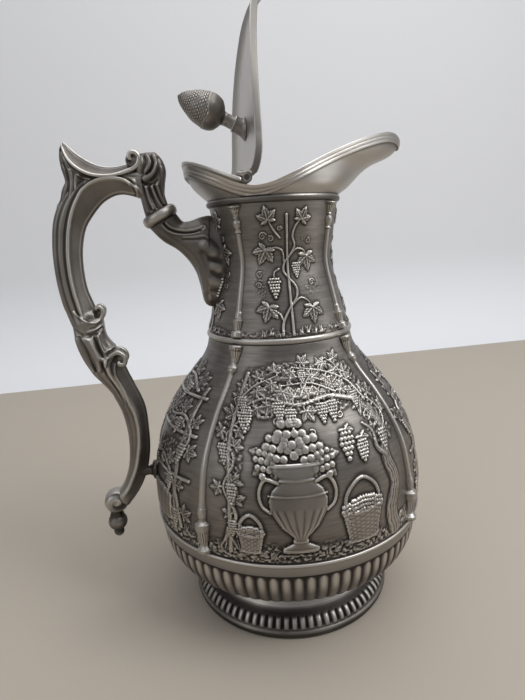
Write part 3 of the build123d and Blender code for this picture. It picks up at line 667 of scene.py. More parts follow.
def thicket(panel, x, y, width, height, relief, seed):
    # low foliage mass behind the leaves: noise lumps inside an oval
    found = panel.window(x, y, max(width, height))
    if found is None:
        return
    px, py = panel.across[found], panel.up[found]
    rough = valueNoise(px, py, 3.0, seed + 5) * 0.25
    inside = 1 - ease(((px - x) / width) ** 2 + ((py - y) / height) ** 2 + rough, 0.6, 1.0)
    lumps = 0.45 + valueNoise(px, py, 1.1, seed) * 0.55 + valueNoise(px, py, 0.6, seed + 3) * 0.3
    panel.height[found] = np.maximum(panel.height[found], relief * inside * np.clip(lumps, 0, 1))


def grass(panel, x, y, size, seed, relief):
    # tuft of six blades that lean apart
    random = np.random.default_rng(seed)
    for _ in range(6):
        lean = random.uniform(-0.8, 0.8)
        tall = size * random.uniform(0.6, 1.0)
        root = x + random.uniform(-0.3, 0.3) * size
        points = [(root, y), (root + lean * tall * 0.35, y + tall * 0.6), (root + lean * tall * 0.8, y + tall)]
        stroke(panel, points, 0.7, 0.3, relief, samples=6)


def vine(panel, points, startWidth, endWidth, relief, leaves, bunches, seed):
    # a stem with leaves and bunches set beside it; each entry is (place along, side, size)
    stroke(panel, points, startWidth, endWidth, relief, bark=0.35)
    line = smoothLine(points, 60)
    run = np.gradient(line, axis=0)
    for k, (at, side, size) in enumerate(leaves):
        n = min(59, int(at * 59))
        d = run[n] / (np.hypot(*run[n]) + 1e-9)
        root = line[n] + side * np.array([-d[1], d[0]]) * (0.35 * size + endWidth)
        turn = math.atan2(d[1], d[0]) + (math.pi if side > 0 else 0) + 0.5 * math.sin(7 * k + seed)
        stroke(panel, [line[n], (line[n] + root) / 2 + d * 0.6, root], 0.8, 0.6, relief * 0.6, samples=5)
        panel.raiseTo(root[0], root[1], size * 1.1, turn, leafShape(size, 0.62), 0.35)
    for k, (at, side, size) in enumerate(bunches):
        n = min(59, int(at * 59))
        root = line[n] + np.array([side * size * 0.35, -size * 0.25])
        stroke(panel, [line[n], root], 0.8, 0.6, relief * 0.6, samples=4)
        bunch = bunchShape(size * 0.85, size * 1.25, 0.95, seed + k)
        panel.raiseTo(root[0], root[1] - size * 0.1, size * 1.5, 0, bunch, 0.25)


# Neck: four panels, each a pole with a vine wound round it

neckSize = {
    "rows": 190,
    "cols": 176,
    "wall": 2.0,
    "edgeFade": 1.2,
    "waistShare": 0.56,
}


def flipped(points, flip):
    # points of a line with x times flip, so -1 mirrors it
    return [(x * flip, y) for x, y in points]


def neckPanelRelief(panel, kind):
    # pole with a stem wound round it, twigs, leaves, bunches and curls, mirrored on every second panel
    flip = -1 if kind % 2 else 1
    narrow = flip * (0.92 if kind % 2 else 1.0)
    stroke(panel, flipped([(-0.5, 1.2), (-0.4, 24), (-0.5, 46.5)], flip), 1.15, 0.95, 0.75, bark=0.1)
    stem = [
        (-4.6, 1.2), (-4.1, 5.5), (-0.7, 11.7), (2.1, 15.6), (2.3, 18.8), (0.1, 22.3),
        (-2.1, 25.4), (-1.6, 28.6), (1.0, 32.0), (2.5, 35.0), (1.7, 38.5), (2.8, 42.0), (4.2, 44.0),
    ]
    stroke(panel, flipped(stem, flip), 1.15, 0.75, 0.7)
    twigs = [
        [(-3.9, 6.4), (-5.2, 9.4), (-8.4, 11.2)],
        [(0.3, 12.6), (3.6, 15.0), (6.6, 13.4), (8.0, 10.6)],
        [(-1.7, 29.0), (-2.4, 33.4), (-5.4, 34.6), (-8.2, 33.2)],
        [(0.8, 31.7), (3.4, 33.8), (6.2, 33.0), (7.4, 30.4)],
        [(-3.2, 38.2), (-5.4, 41.0), (-7.0, 44.0)],
        [(-4.0, 26.4), (-5.6, 25.4), (-6.0, 22.8)],
    ]
    for twig in twigs:
        stroke(panel, flipped(twig, narrow), 0.75, 0.6, 0.5)
    leaves = [
        (8.2, 10.9, 6.4, 0.05), (-9.0, 12.0, 6.2, -0.35), (7.3, 30.9, 6.0, 0.1), (-8.6, 33.9, 6.2, -0.45),
        (5.4, 44.6, 4.9, 2.7), (-7.6, 45.0, 5.2, 3.4),
    ]
    for x, y, size, turn in leaves:
        panel.raiseTo(x * narrow, y, size * 1.15, turn * flip, leafShape(size, 0.72), 0.2)
    bunches = [(-6.0, 22.6, 4.6, 7.0, 0.95), (2.9, 28.2, 3.4, 5.2, 0.6)]
    for k, (x, y, width, length, relief) in enumerate(bunches):
        panel.raiseTo(x * narrow, y, length * 1.3, 0, bunchShape(width, length, relief, kind * 5 + k), 0.2)
    curls = [
        (-9.6, 39.0, 1.5, 0.4, 1), (-6.6, 38.0, 1.1, 2.0, -1), (-11.4, 24.5, 1.3, 1.0, 1),
        (-12.0, 20.4, 1.2, 3.0, -1), (9.0, 20.6, 1.3, 0.2, 1), (8.0, 36.6, 1.1, 1.5, -1), (-3.2, 41.5, 0.9, 0.0, 1),
    ]
    for x, y, size, turn, hand in curls:
        tendril(panel, x * narrow, y, size, turn, hand * flip)
    fine = valueNoise(panel.across, panel.up, 0.62, 11 + kind) + valueNoise(panel.across, panel.up, 0.35, 17)
    patch = np.zeros_like(fine)
    for x, y, wide, tall in ((9, 19, 3.2, 3.0), (-11, 21, 2.6, 6.0), (6, 36, 2.0, 2.0)):
        patch = patch + np.exp(-(((panel.across * flip - x) / wide) ** 2 + ((panel.up - y) / tall) ** 2))
    panel.add(0.16 * np.clip(patch, 0, 1) * np.clip(fine, 0, 1.5) * (panel.height < 0.1))
    for k, x in enumerate((-12, -9, -6.5, 2.5, 5.0, 8.0, 11.0)):
        grass(panel, x * flip, 1.0 + 0.6 * math.sin(k * 2.1), 2.6, 40 + k + kind, 0.34)
    rubble(panel, 1.2, 4.2, 0.42, 23 + kind)


def wallPanel(name, node, meridian, middle, size, relief, kind):
    # one cast panel: outer grid with relief, plain inner grid, closed by four edge faces
    spread = math.pi / 4
    rise = runAlong(meridian)
    angles = np.linspace(-spread, spread, size["cols"])
    panel = Panel(meridian[:, 0], rise, angles)
    relief(panel, kind)
    fade = ease(rise, 0, size["edgeFade"]) * (1 - ease(rise, rise[-1] - size["edgeFade"], rise[-1]))
    sides = ease(spread - np.abs(angles), 0.0, 0.05)
    height = panel.height * fade[:, None] * sides[None, :]
    run = np.gradient(meridian, axis=0)
    run /= np.linalg.norm(run, axis=1, keepdims=True)
    outR = meridian[:, 0][:, None] + height * run[:, 1][:, None]
    outZ = meridian[:, 1][:, None] - height * run[:, 0][:, None]
    turn = middle + angles[None, :]
    outer = np.stack([outR * np.cos(turn), outR * np.sin(turn), outZ], -1)
    few = 26  # rows and columns of the plain inside
    inMeridian = meridian[np.linspace(0, len(meridian) - 1, few).astype(int)] - np.array([size["wall"], 0])
    inner = turned(inMeridian, middle + np.linspace(-spread, spread, few))
    rows, cols = outer.shape[:2]
    base = rows * cols
    faces = gridFaces(rows, cols) + [face[::-1] for face in gridFaces(few, few, base)]
    out = np.arange(base).reshape(rows, cols)
    inn = base + np.arange(few * few).reshape(few, few)
    edges = [
        (out[:, 0], inn[::-1, 0]), (out[::-1, -1], inn[:, -1]), (out[0, ::-1], inn[0]), (out[-1], inn[-1, ::-1]),
    ]
    faces += [np.concatenate(edge).tolist() for edge in edges]
    # bright where the relief stands over its blurred self, dark close to it: rubbed high points and patina in the
    # recesses, with painted highlight and painted shade as well; streaked on the ground
    wearAndShade = 0.46 + 1.1 * (height - blurred(height, 3)) + 0.62 * (height - blurred(height, 10))
    near = blurred((height > 0.08).astype(float), 16)
    wearAndShade = wearAndShade - 0.24 * near * np.exp(-height / 0.25) + 0.05 * np.clip(height, 0, 1)
    across, up = meridian[:, 0][:, None] * angles[None, :], rise[:, None]
    streaks = valueNoise(across / 9 + 20, up / 0.5, 1.0, 5) + valueNoise(across / 4 + 9, up / 0.3, 1.0, 6)
    wearAndShade = wearAndShade + 0.022 * streaks * np.exp(-height / 0.15)
    wearAndShade = np.concatenate([np.clip(wearAndShade, 0, 1).ravel(), np.full(few * few, 0.5)])
    points = np.concatenate([outer.reshape(-1, 3), inner.reshape(-1, 3)])
    makePiece(name, node, points, faces, wearAndShade, flat=(-4, -3, -2, -1))


panelMiddles = {"Front": -math.pi / 2, "Spout": 0, "Back": math.pi / 2, "Handle": math.pi}


def makeWall(part, node, meridian, size, relief):
    # four panels round the wall, a quarter turn each
    for kind, (side, middle) in enumerate(panelMiddles.items()):
        wallPanel(part + side, node, meridian, middle, size, relief, kind)


def neckMeridian(count):
    # from the neck ring in to the waist, then out to the bead under the collar
    low, high = spanOf("neck_shell")
    base, top, foot = low[2], high[2], high[0]
    head = spanOf("collar_bead")[1][0] - 1.2
    waist = foot - 6.8
    tall = top - base
    points = [
        (foot, base),
        (waist + 0.36 * (foot - waist), base + 0.33 * tall),
        (waist, base + neckSize["waistShare"] * tall),
        (waist + 0.42 * (head - waist), base + 0.77 * tall),
        (head, top),
    ]
    return smoothLine(points, count)


makeWall("neck", "neck_shell", neckMeridian(neckSize["rows"]), neckSize, neckPanelRelief)
print("neck made")


# Belly: four panels of a vineyard still life in high relief

bellySize = {
    "rows": 262,
    "cols": 300,
    "wall": 2.0,
    "edgeFade": 1.4,
    "most": 1.5,  # what the highest relief comes near to
}
# share of the belly's height and of its swell
bellyLine = [
    (0, 1), (0.2, 0.99), (0.33, 0.945), (0.455, 0.864), (0.58, 0.706), (0.71, 0.478), (0.83, 0.215), (0.93, 0.05),
    (1, 0),
]


def bellyMeridian(count):
    # radius = top + swell (widest - top) at a share of the shell's height
    low, high = spanOf("belly_shell")
    topRadius = spanOf("neck_ring")[1][0] - 0.7
    points = [
        (topRadius + swell * (high[0] - topRadius), low[2] + share * (high[2] - low[2])) for share, swell in bellyLine
    ]
    return smoothLine(points, count)


def urn(panel, x, base, tall, seed):
    # fluted vase with two handles, heaped with grapes and a leaf
    half = 0.33 * tall
    profile = [(0.62, 0), (0.6, 0.05), (0.26, 0.11), (0.24, 0.18), (0.62, 0.3), (0.95, 0.48), (1, 0.6)]
    profile += [(0.86, 0.72), (0.6, 0.8), (0.58, 0.86), (0.88, 0.94), (0.92, 0.97), (0.92, 1.0)]
    shaped = [(a * half, b * tall) for a, b in profile]
    for side in (-1, 1):
        handle = [(0.62, 0.8), (1.05, 0.84), (1.3, 0.7), (1.22, 0.54), (0.96, 0.47)]
        points = [(x + side * a * half, base + b * tall) for a, b in handle]
        stroke(panel, points, 1.5, 1.1, 0.95)
        tendril(panel, x + side * 1.12 * half, base + 0.86 * tall, 1.0, 0, side, 0.8, 0.8)
    heaps = [(-0.5, 1.28, 0.9), (0.5, 1.26, 0.9), (0, 1.45, 1.0), (-0.95, 1.12, 0.7), (0.95, 1.1, 0.7)]
    for k, (a, b, size) in enumerate(heaps):
        shape = bunchShape(1.1 * half * size, 0.36 * tall * size, 0.95, seed + k)
        panel.raiseTo(x + a * half, base + b * tall, tall * 0.6, 0.25 * a, shape, 0.15)
    panel.raiseTo(x, base, tall * 1.2, 0, turnedShape(shaped, 1.3, flutes=18))
    for level, wide in ((0.03, 0.6), (0.14, 0.24), (0.66, 0.99), (0.83, 0.6), (0.98, 0.92)):
        y = base + level * tall
        stroke(panel, [(x - wide * half, y), (x, y - 0.3), (x + wide * half, y)], 0.8, 0.8, 0.4, blend=0.9)
    panel.raiseTo(x - 0.7 * half, base + 1.08 * tall, half * 1.2, -0.9, leafShape(half * 0.95, 0.6), 0.35)
    panel.raiseTo(x + 0.8 * half, base + 1.05 * tall, half * 1.2, 0.7, leafShape(half * 0.9, 0.6), 0.35)


def basket(panel, x, base, wide, tall, seed):
    # woven basket with rolled rims, an arched handle and grapes over the rim
    half = wide / 2
    arch = [(-0.92, 0.95), (-0.75, 1.65), (0, 2.05), (0.75, 1.65), (0.92, 0.95)]
    stroke(panel, [(x + a * half, base + b * tall) for a, b in arch], 1.5, 1.5, 0.8, bark=0.35)
    for k in range(5):
        a = (k - 2) / 2.4
        shape = bunchShape(0.62 * half, 0.62 * tall, 0.95, seed + k)
        panel.raiseTo(x + a * half, base + tall * (1.42 - 0.22 * a * a), tall, -0.3 * a, shape, 0.15)
    profile = [(0.74 * half, 0), (0.8 * half, 0.3 * tall), (0.95 * half, 0.8 * tall), (1.0 * half, tall)]
    panel.raiseTo(x, base, wide * 1.2, 0, turnedShape(profile, 1.05, weave=0.34))
    for level, reach in ((0.02, 0.76), (1.0, 1.02)):
        y = base + level * tall
        line = [(x - reach * half, y + 0.5), (x, y - 0.4), (x + reach * half, y + 0.5)]
        stroke(panel, line, 1.5, 1.5, 0.5, blend=0.85, bark=0.3)
    panel.raiseTo(x + 0.25 * half, base + tall * 1.15, half, 0.2, leafShape(half * 0.62, 0.6), 0.4)


def cask(panel, x, y, length, width, end):
    # lying cask from the side, with the head at one end turned to the front
    panel.raiseTo(x, y, length * 0.7, 0, caskShape(length, width, 1.35))
    panel.raiseTo(x + end * length * 0.47, y, width, 0, caskEndShape(width * 0.47, 1.45))


def stones(panel, low, seed):
    # sixteen flat stones, each a half ellipsoid
    random = np.random.default_rng(seed)
    for _ in range(16):
        x, y = random.uniform(-40, 40), low + random.uniform(0, 3.2)
        size = random.uniform(0.8, 2.2)

        def shape(a, b, size=size):
            return 0.6 * np.sqrt(np.clip(1 - (a / size) ** 2 - (b / (size * 0.6)) ** 2, 0, 1))

        panel.raiseTo(x, y, size * 1.2, random.uniform(-0.4, 0.4), shape, 0.3)


def canopy(panel, flip, branches, seed, leaf=5.0):
    # branches with leaves on both sides and bunches hanging; each is points, width, leaves, bunches
    for k, (points, width, leafCount, bunchCount) in enumerate(branches):
        random = np.random.default_rng(seed + k)
        places = np.linspace(0.12, 1.0, leafCount)
        leaves = [(at, 1 if n % 2 else -1, leaf * random.uniform(0.8, 1.1)) for n, at in enumerate(places)]
        spots = np.linspace(0.2, 0.95, bunchCount)
        bunches = [(at, 1 if n % 2 else -1, leaf * random.uniform(0.95, 1.2)) for n, at in enumerate(spots)]
        vine(panel, flipped(points, flip), width, width * 0.5, 1.1, leaves, bunches, seed + k)


def thickets(panel, flip, spots, relief, seed):
    # each spot is x, y, half width and half height
    for x, y, width, height in spots:
        thicket(panel, flip * x, y, width, height, relief, seed + x)


def arbour(panel, flip, seed):
    # tree and pole with vines overhead, and under them an urn between two baskets
    thickets(panel, flip, ((-14, 59, 14, 6), (10, 59, 16, 7), (28, 46, 6, 9), (-31, 42, 5, 10)), 0.5, seed + 50)
    trunk = [(33, 3), (31, 12), (34, 22), (30, 33), (31, 43), (26, 51), (19, 57)]
    stroke(panel, flipped(trunk, flip), 7.0, 3.2, 1.4, bark=0.4)
    stroke(panel, flipped([(34, 3), (38, 7), (40, 4)], flip), 3.0, 1.6, 0.9, bark=0.4)
    stroke(panel, flipped([(30, 33), (26, 37), (25, 43), (21, 47)], flip), 2.4, 1.2, 1.1, bark=0.35)
    overhead = [
        ([(19, 57), (9, 60), (-4, 58), (-15, 61), (-23, 58)], 2.4, 13, 5),
        ([(30, 41), (33, 46), (30, 52), (24, 57)], 1.6, 6, 1),
        ([(12, 61), (3, 66), (-8, 66)], 1.3, 6, 0),
    ]
    canopy(panel, flip, overhead, seed)
    thickets(panel, flip, ((13, 68, 13, 5), (-4, 71, 14, 4), (-17, 67, 7, 6), (22, 61, 5, 7)), 0.4, seed + 90)
    upper = [
        ([(25, 55), (19, 64), (9, 70), (-3, 73)], 1.5, 10, 2),
        ([(17, 66), (15, 71), (11, 75)], 1.0, 4, 0),
        ([(-25, 60), (-18, 66), (-9, 70)], 1.1, 6, 1),
    ]
    canopy(panel, flip, upper, seed + 40, 3.9)
    pole = [(-34, 4), (-33, 24), (-31, 44), (-25, 60), (-20, 71)]
    stroke(panel, flipped(pole, flip), 2.0, 1.5, 1.0, bark=0.2)
    climber = [(-36, 8), (-31, 18), (-35, 28), (-30, 38), (-32, 46), (-26, 53), (-27, 60)]
    canopy(panel, flip, [(climber, 1.5, 11, 4)], seed + 7, 4.6)
    for lean in (-4.5, -2, 2, 4.5):
        root = [(-34.5, 13), (-34.5 + lean * 0.5, 7), (-34.5 + lean, 4)]
        stroke(panel, flipped(root, flip), 1.3, 0.7, 0.8, bark=0.2)
    basket(panel, flip * 16.5, 5.0, 17, 11.5, seed + 3)
    urn(panel, flip * -8, 5.0, 32, seed)
    basket(panel, flip * -26, 4.5, 9.5, 7.0, seed + 5)
    for x, y, wide, tall in ((12.5, 45, 6.5, 9), (19, 41, 5, 7)):
        panel.raiseTo(flip * x, y, tall * 1.4, 0, bunchShape(wide, tall, 1.1, seed + int(x)), 0.2)
        panel.raiseTo(flip * x, y + 1.5, 6, 0.4, leafShape(4.8, 0.7), 0.3)


def trellis(panel, flip, seed):
    # posts and rails grown over with vines, above two casks
    spots = ((-20, 34, 8, 6), (18, 36, 9, 6), (0, 52, 20, 7), (-12, 62, 10, 4), (12, 62, 10, 4))
    thickets(panel, flip, spots, 0.5, seed + 50)
    for x in (-29, 29):
        stroke(panel, flipped([(x, 3), (x * 0.98, 30), (x * 0.78, 62)], flip), 2.6, 2.0, 1.1, bark=0.3)
    for y, reach in ((26, 37), (43, 33), (58, 26)):
        stroke(panel, flipped([(-reach, y), (0, y - 0.8), (reach, y)], flip), 1.5, 1.5, 0.8, bark=0.25)
    cask(panel, flip * -18, 11.5, 18, 13.5, flip)
    cask(panel, flip * 17, 10.5, 16, 12, -flip)
    branches = [
        ([(-33, 6), (-30, 18), (-24, 26), (-14, 31), (-4, 28)], 2.2, 8, 3),
        ([(33, 6), (30, 16), (26, 26), (16, 32), (6, 34)], 2.2, 8, 3),
        ([(-28, 32), (-30, 42), (-20, 49), (-8, 47), (2, 51)], 1.8, 9, 3),
        ([(28, 32), (30, 42), (20, 50), (10, 48)], 1.8, 8, 3),
        ([(-18, 60), (-6, 65), (8, 63), (18, 61)], 1.6, 9, 1),
    ]
    canopy(panel, flip, branches, seed)


def bellyRelief(panel, kind):
    # ground, arbour or trellis, grass and tendrils; h = most tanh(h / most) keeps it inside the wall's room
    flip = 1 if kind in (0, 1) else -1
    seed = 60 + 20 * kind
    rubble(panel, 4.5, 8.5, 0.6, seed)
    stones(panel, 2.5, seed + 1)
    (trellis if kind % 2 else arbour)(panel, flip, seed)
    for k, x in enumerate(np.linspace(-38, 38, 13)):
        grass(panel, x + 2 * math.sin(k * 2.3 + kind), 4.0 + 1.2 * math.sin(k * 1.7), 3.6, seed + 30 + k, 0.5)
    for k in range(5):
        x = flip * (-24 + 12 * k)
        tendril(panel, x, 50 + 3 * math.sin(k * 2.4 + kind), 1.4, k, 1 if k % 2 else -1, 0.5, 0.6)
    panel.height = bellySize["most"] * np.tanh(panel.height / bellySize["most"])


makeWall("belly", "belly_shell", bellyMeridian(bellySize["rows"]), bellySize, bellyRelief)
print("belly made")


# Columns and rings

def pathColumn(meridian, size, turn):
    # loops across a meridian: offset r cos a outwards, cut 0.8 mm inside the wall, r sin a sideways
    shares = size["shares"]
    corners = np.asarray(shares[1:-1])
    want = np.linspace(shares[0], shares[-1], size["rows"])
    want = np.sort(np.concatenate([want, corners - 0.001, corners + 0.001]))
    radius = np.interp(want, shares, size["radii"])
    radius = np.convolve(np.pad(radius, 1, mode="edge"), [0.22, 0.56, 0.22], "valid")[:, None]
    t = runAlong(meridian)
    r = np.interp(want * t[-1], t, meridian[:, 0])
    z = np.interp(want * t[-1], t, meridian[:, 1])
    dr, dz = np.gradient(r), np.gradient(z)
    length = np.hypot(dr, dz) + 1e-9
    a = around(size["cols"])
    mask = np.zeros(len(want))
    for low, high in size["reeded"]:
        mask = np.maximum(mask, (want > low) & (want < high))
    mask = mask[:, None]
    reed = np.abs(np.cos(a * size["reeds"] / 2))[None, :]
    rad = radius * (1 - 0.2 * mask * (1 - reed))
    out = np.maximum(rad * np.cos(a), -0.8)
    side = rad * np.sin(a)
    wearAndShade = 0.56 + mask * (reed - 0.6) * 0.7 + 0.1 * (out > 0.75 * radius)
    er = r[:, None] + out * (dz / length)[:, None]
    up = z[:, None] - out * (dr / length)[:, None]
    c, s = math.cos(turn), math.sin(turn)
    points = np.stack([er * c - side * s, er * s + side * c, up], -1)
    return points, tubeFaces(points), np.clip(wearAndShade, 0, 1)


def makeColumns(name, node, meridian, size):
    # four columns, half way between the panels' middles
    makePiece(name, node, *joined(*(pathColumn(meridian, size, (k + 0.5) * math.pi / 2) for k in range(4))))


# shares of the meridian's length, radii there, reeds round, and the shares between which they run
bellyColumnSize = {
    "rows": 120,
    "cols": 48,
    "shares": [0.004, 0.02, 0.034, 0.06, 0.11, 0.118, 0.135, 0.15, 0.158, 0.17, 0.2, 0.22, 0.25, 0.55, 0.855,
               0.865, 0.88, 0.893, 0.9, 0.912, 0.94, 0.97, 0.985, 0.996],
    "radii": [3.0, 2.95, 1.7, 2.0, 2.85, 3.1, 3.15, 3.1, 1.75, 1.7, 2.1, 1.75, 1.45, 1.3, 1.16,
              1.9, 2.05, 1.9, 1.3, 1.45, 1.95, 2.6, 2.95, 3.0],
    "reeds": 18,
    "reeded": [(0.035, 0.112), (0.915, 0.985)],
}
neckColumnSize = {
    "rows": 90,
    "cols": 44,
    "shares": [0.004, 0.045, 0.052, 0.06, 0.09, 0.12, 0.135, 0.15, 0.19, 0.2, 0.5, 0.79, 0.8, 0.812,
               0.825, 0.845, 0.868, 0.885, 0.895, 0.905, 0.915, 0.94, 0.968, 0.982, 0.994],
    "radii": [2.4, 2.35, 2.0, 1.5, 1.75, 2.1, 2.15, 1.6, 1.45, 1.25, 1.16, 1.1, 1.75, 1.15,
              1.3, 1.75, 1.8, 1.6, 1.15, 1.6, 1.2, 1.6, 2.3, 2.8, 2.9],
    "reeds": 16,
    "reeded": [(0.058, 0.122), (0.92, 0.975)],
}


ringSizes = {
    "neckRing": {"node": "neck_ring", "inner": 28.4, "rounding": 1.2, "shades": (0.3, 0.58, 0.58)},
    "collarBead": {"node": "collar_bead", "inner": 24.4, "rounding": 1.3, "shades": (0.05, 0.1, 0.85)},
}


def makeRing(name, size):
    # rounded ring: outer half of a superellipse, straight inner wall
    low, high = spanOf(size["node"])
    base, top, rounding, shades = low[2], high[2], size["rounding"], size["shades"]
    a = np.linspace(-np.pi / 2, np.pi / 2, 15)
    half = (top - base) / 2
    outer = np.stack([high[0] - rounding + rounding * np.cos(a) ** 0.8, base + half + half * np.sin(a)], -1)
    profile = np.concatenate([outer, [(size["inner"], top), (size["inner"], base)]])
    # the tone rises from a dark underside, painted shade, to a bright line near the top, a painted highlight
    wearAndShade = np.interp(np.arange(len(profile)), [0, 3, 8, 11, 14, 16], [0.2, *shades, shades[1], 0.2])
    points = turned(profile, around(240))
    makePiece(name, size["node"], points, loopFaces(points), sameAround(wearAndShade, 240), "pewter_satin")


makeColumns("bellyColumns", "belly_columns", bellyMeridian(200), bellyColumnSize)
makeColumns("neckColumns", "neck_columns", neckMeridian(150), neckColumnSize)
for name, size in ringSizes.items():
    makeRing(name, size)
print("columns and rings made")


# Rim, cover and lid follow one saddle line in the middle plane: share of reach, rise

rimSize = {
    "low": 177.8,
    "front": 55.8,
    "rear": 36.0,
    "halfWidth": 31.0,
    "wall": 1.8,
    "flange": 4.0,
    "proud": 1.1,
    "start": 26.7,
    "base": 174.6,
    "tall": 24.0,
}
saddleLine = [
    (-1.12, 12.6), (-1.0, 10.5), (-0.833, 7.2), (-0.667, 4.1), (-0.5, 1.4), (-0.333, 0.0), (-0.167, 0.9), (0.0, 3.2),
    (0.143, 6.8), (0.287, 10.3), (0.466, 14.2), (0.645, 17.5), (0.824, 19.8), (0.932, 19.5), (1.02, 16.8), (1.1, 13.0),
]
# share of height, then shares of the way forward, back and sideways, and how pointed the plan is
collarLine = [
    (0.0, 0.0, 0.0, 0.0, 0.0), (0.1, 0.14, 0.33, 0.55, 0.1), (0.225, 0.27, 0.68, 0.82, 0.3),
    (0.35, 0.39, 0.87, 0.93, 0.5), (0.48, 0.57, 0.97, 0.98, 0.7), (0.605, 0.84, 1.0, 1.0, 0.88),
    (0.72, 0.97, 1.0, 1.0, 0.96), (1.0, 1.02, 1.0, 1.0, 1.0),
]


def saddleHeight(x):
    # lowest place of the rim plus the rise that the saddle line gives at x
    x = np.asarray(x, float)
    knots = np.array([s * (rimSize["front"] if s > 0 else rimSize["rear"]) for s, _ in saddleLine])
    rises = np.array([rise for _, rise in saddleLine])
    shape = x.shape
    return rimSize["low"] + smoothTable(np.clip(x.ravel(), knots[0], knots[-1]), knots, rises).reshape(shape)


def egg(angle, front, rear, half, point):
    # x = reach cos a, y = half sin a (1 - point (0.35 + 0.15 cos a) cos a)
    c = np.cos(angle)
    reach = np.where(c > 0, front, rear)
    return reach * c, half * np.sin(angle) * (1 - point * (0.35 + 0.15 * c) * c)


def collarPoint(angle, share, offset):
    # round at the start, widened to the rim's egg by the shares of this height
    size = rimSize
    table = np.array(collarLine)
    levels = smoothTable(np.ravel(share), table[:, 0], table[:, 1:]).reshape(np.shape(share) + (4,))
    start, proud = size["start"], size["proud"]
    front = start + levels[..., 0] * (size["front"] - proud - start) + offset
    rear = start + levels[..., 1] * (size["rear"] - proud - start) + offset
    half = start + levels[..., 2] * (size["halfWidth"] - proud - start) + offset
    x, y = egg(angle, front, rear, half, levels[..., 3])
    return np.stack([x, y, size["base"] + share * size["tall"]], -1)


def shareAt(angle, offset, below):
    # bisection for the share of height at which the wall is `below` under the saddle line
    low, high = np.zeros_like(angle), np.ones_like(angle)
    for _ in range(30):
        middle = (low + high) / 2
        p = collarPoint(angle, middle, offset)
        under = p[..., 2] < saddleHeight(p[..., 0]) - below
        low, high = np.where(under, middle, low), np.where(under, high, middle)
    return low


def makeCollar(size):
    # rows up the outside, over the stepped flange, and down the inside
    angle = around(480)
    rows, wearAndShade = [], []

    def put(share, offset, shade):
        rows.append(collarPoint(angle, share, offset))
        wearAndShade.append(shade)

    edge = shareAt(angle, 0, size["flange"])
    # the wall painted darker at its foot and just under the flange, as shade
    for k in np.linspace(0, 1, 26):
        put(edge * k, 0.0, 0.5 - 0.22 * ease(k, 0.9, 1.0) - 0.12 * (1 - ease(k, 0, 0.08)))
    proud, wall = size["proud"], size["wall"]
    # offset from the wall, depth under the saddle line, and tone: the flange's underside and grooves painted dark as
    # shade, its face and the top of the lip painted light as highlight
    for offset, below, shade in (
        (0.1, 4.0, 0.1), (proud * 0.9, 4.0, 0.1), (proud, 3.88, 0.42), (proud, 3.7, 0.5), (proud - 0.06, 2.9, 0.56),
        (proud - 0.16, 2.8, 0.38), (proud - 0.16, 2.66, 0.38), (proud - 0.08, 2.56, 0.6), (proud - 0.16, 1.6, 0.56),
        (proud - 0.25, 1.52, 0.42), (proud - 0.25, 1.4, 0.42), (proud - 0.18, 1.3, 0.7), (proud - 0.26, 0.2, 0.72),
        (proud - 0.3, 0.08, 0.9), (proud - 0.4, 0.0, 0.95), (-0.1, 0.0, 0.8), (-1.1, 0.0, 0.8), (-1.25, 0.02, 0.6),
        (-1.35, 0.2, 0.3), (-wall + 0.15, 0.25, 0.4), (-wall, 0.4, 0.62),
    ):
        put(shareAt(angle, offset, below), offset, shade)
    inner = shareAt(angle, -wall, 0.4)
    for k in np.linspace(0.96, 0, 22):
        put(inner * k, -wall, 0.46)
    points = np.array(rows)
    makePiece("collar", "spout_collar", points, loopFaces(points), sameAround(wearAndShade, 480), "pewter_satin")


def planWidth(x, inset=0.0):
    # half width of the plan: half sqrt(1 - c^2) (1 - (0.35 + 0.15 c) c), c = x over the reach
    reach = (rimSize["front"] if x > 0 else rimSize["rear"]) - inset
    c = min(1.0, max(-1.0, x / reach))
    return (rimSize["halfWidth"] - inset) * math.sqrt(max(0.0, 1 - c * c)) * (1 - (0.35 + 0.15 * c) * c)


def makePlate(name, node, body, xs, low, top, turnBack, *extra):
    # one closed cross-section per x over the saddle line, flat below and shaped by top above; then the extra parts
    loops, shades = [], []
    for x in xs:
        wide = max(planWidth(x), 0.05)
        upper, shade = top(x, wide)
        loop = [(-wide * (1 - 2 * k / 10), low) for k in range(11)] + upper[::-1]
        loops.append([(x, y, float(saddleHeight(x)) + z) for y, z in loop])
        shades.append([0.4] * 11 + shade[::-1])
    loops = np.array(loops)
    points, faces, wearAndShade = joined((loops, tubeFaces(loops), np.array(shades)), *extra)
    makePiece(name, node, swung(points, turnBack), faces, wearAndShade, "pewter_satin", body)


def swung(points, angle):
    # turn about the hinge, +Y up the axis: x' = x cos + z sin, z' = z cos - x sin
    p = np.asarray(points, float).reshape(-1, 3) - hingeAt
    c, s = math.cos(angle), math.sin(angle)
    return np.stack([p[:, 0] * c + p[:, 2] * s, p[:, 1], p[:, 2] * c - p[:, 0] * s], -1) + hingeAt


hingeSize = {
    "radius": 2.0,
    "halfLength": 29.5,
    "knuckles": 5,
    "gap": 0.15,
    "leaf": 3.6,
    "thickness": 1.4,
    "bore": 0.95,
    "bevel": 0.12,
}


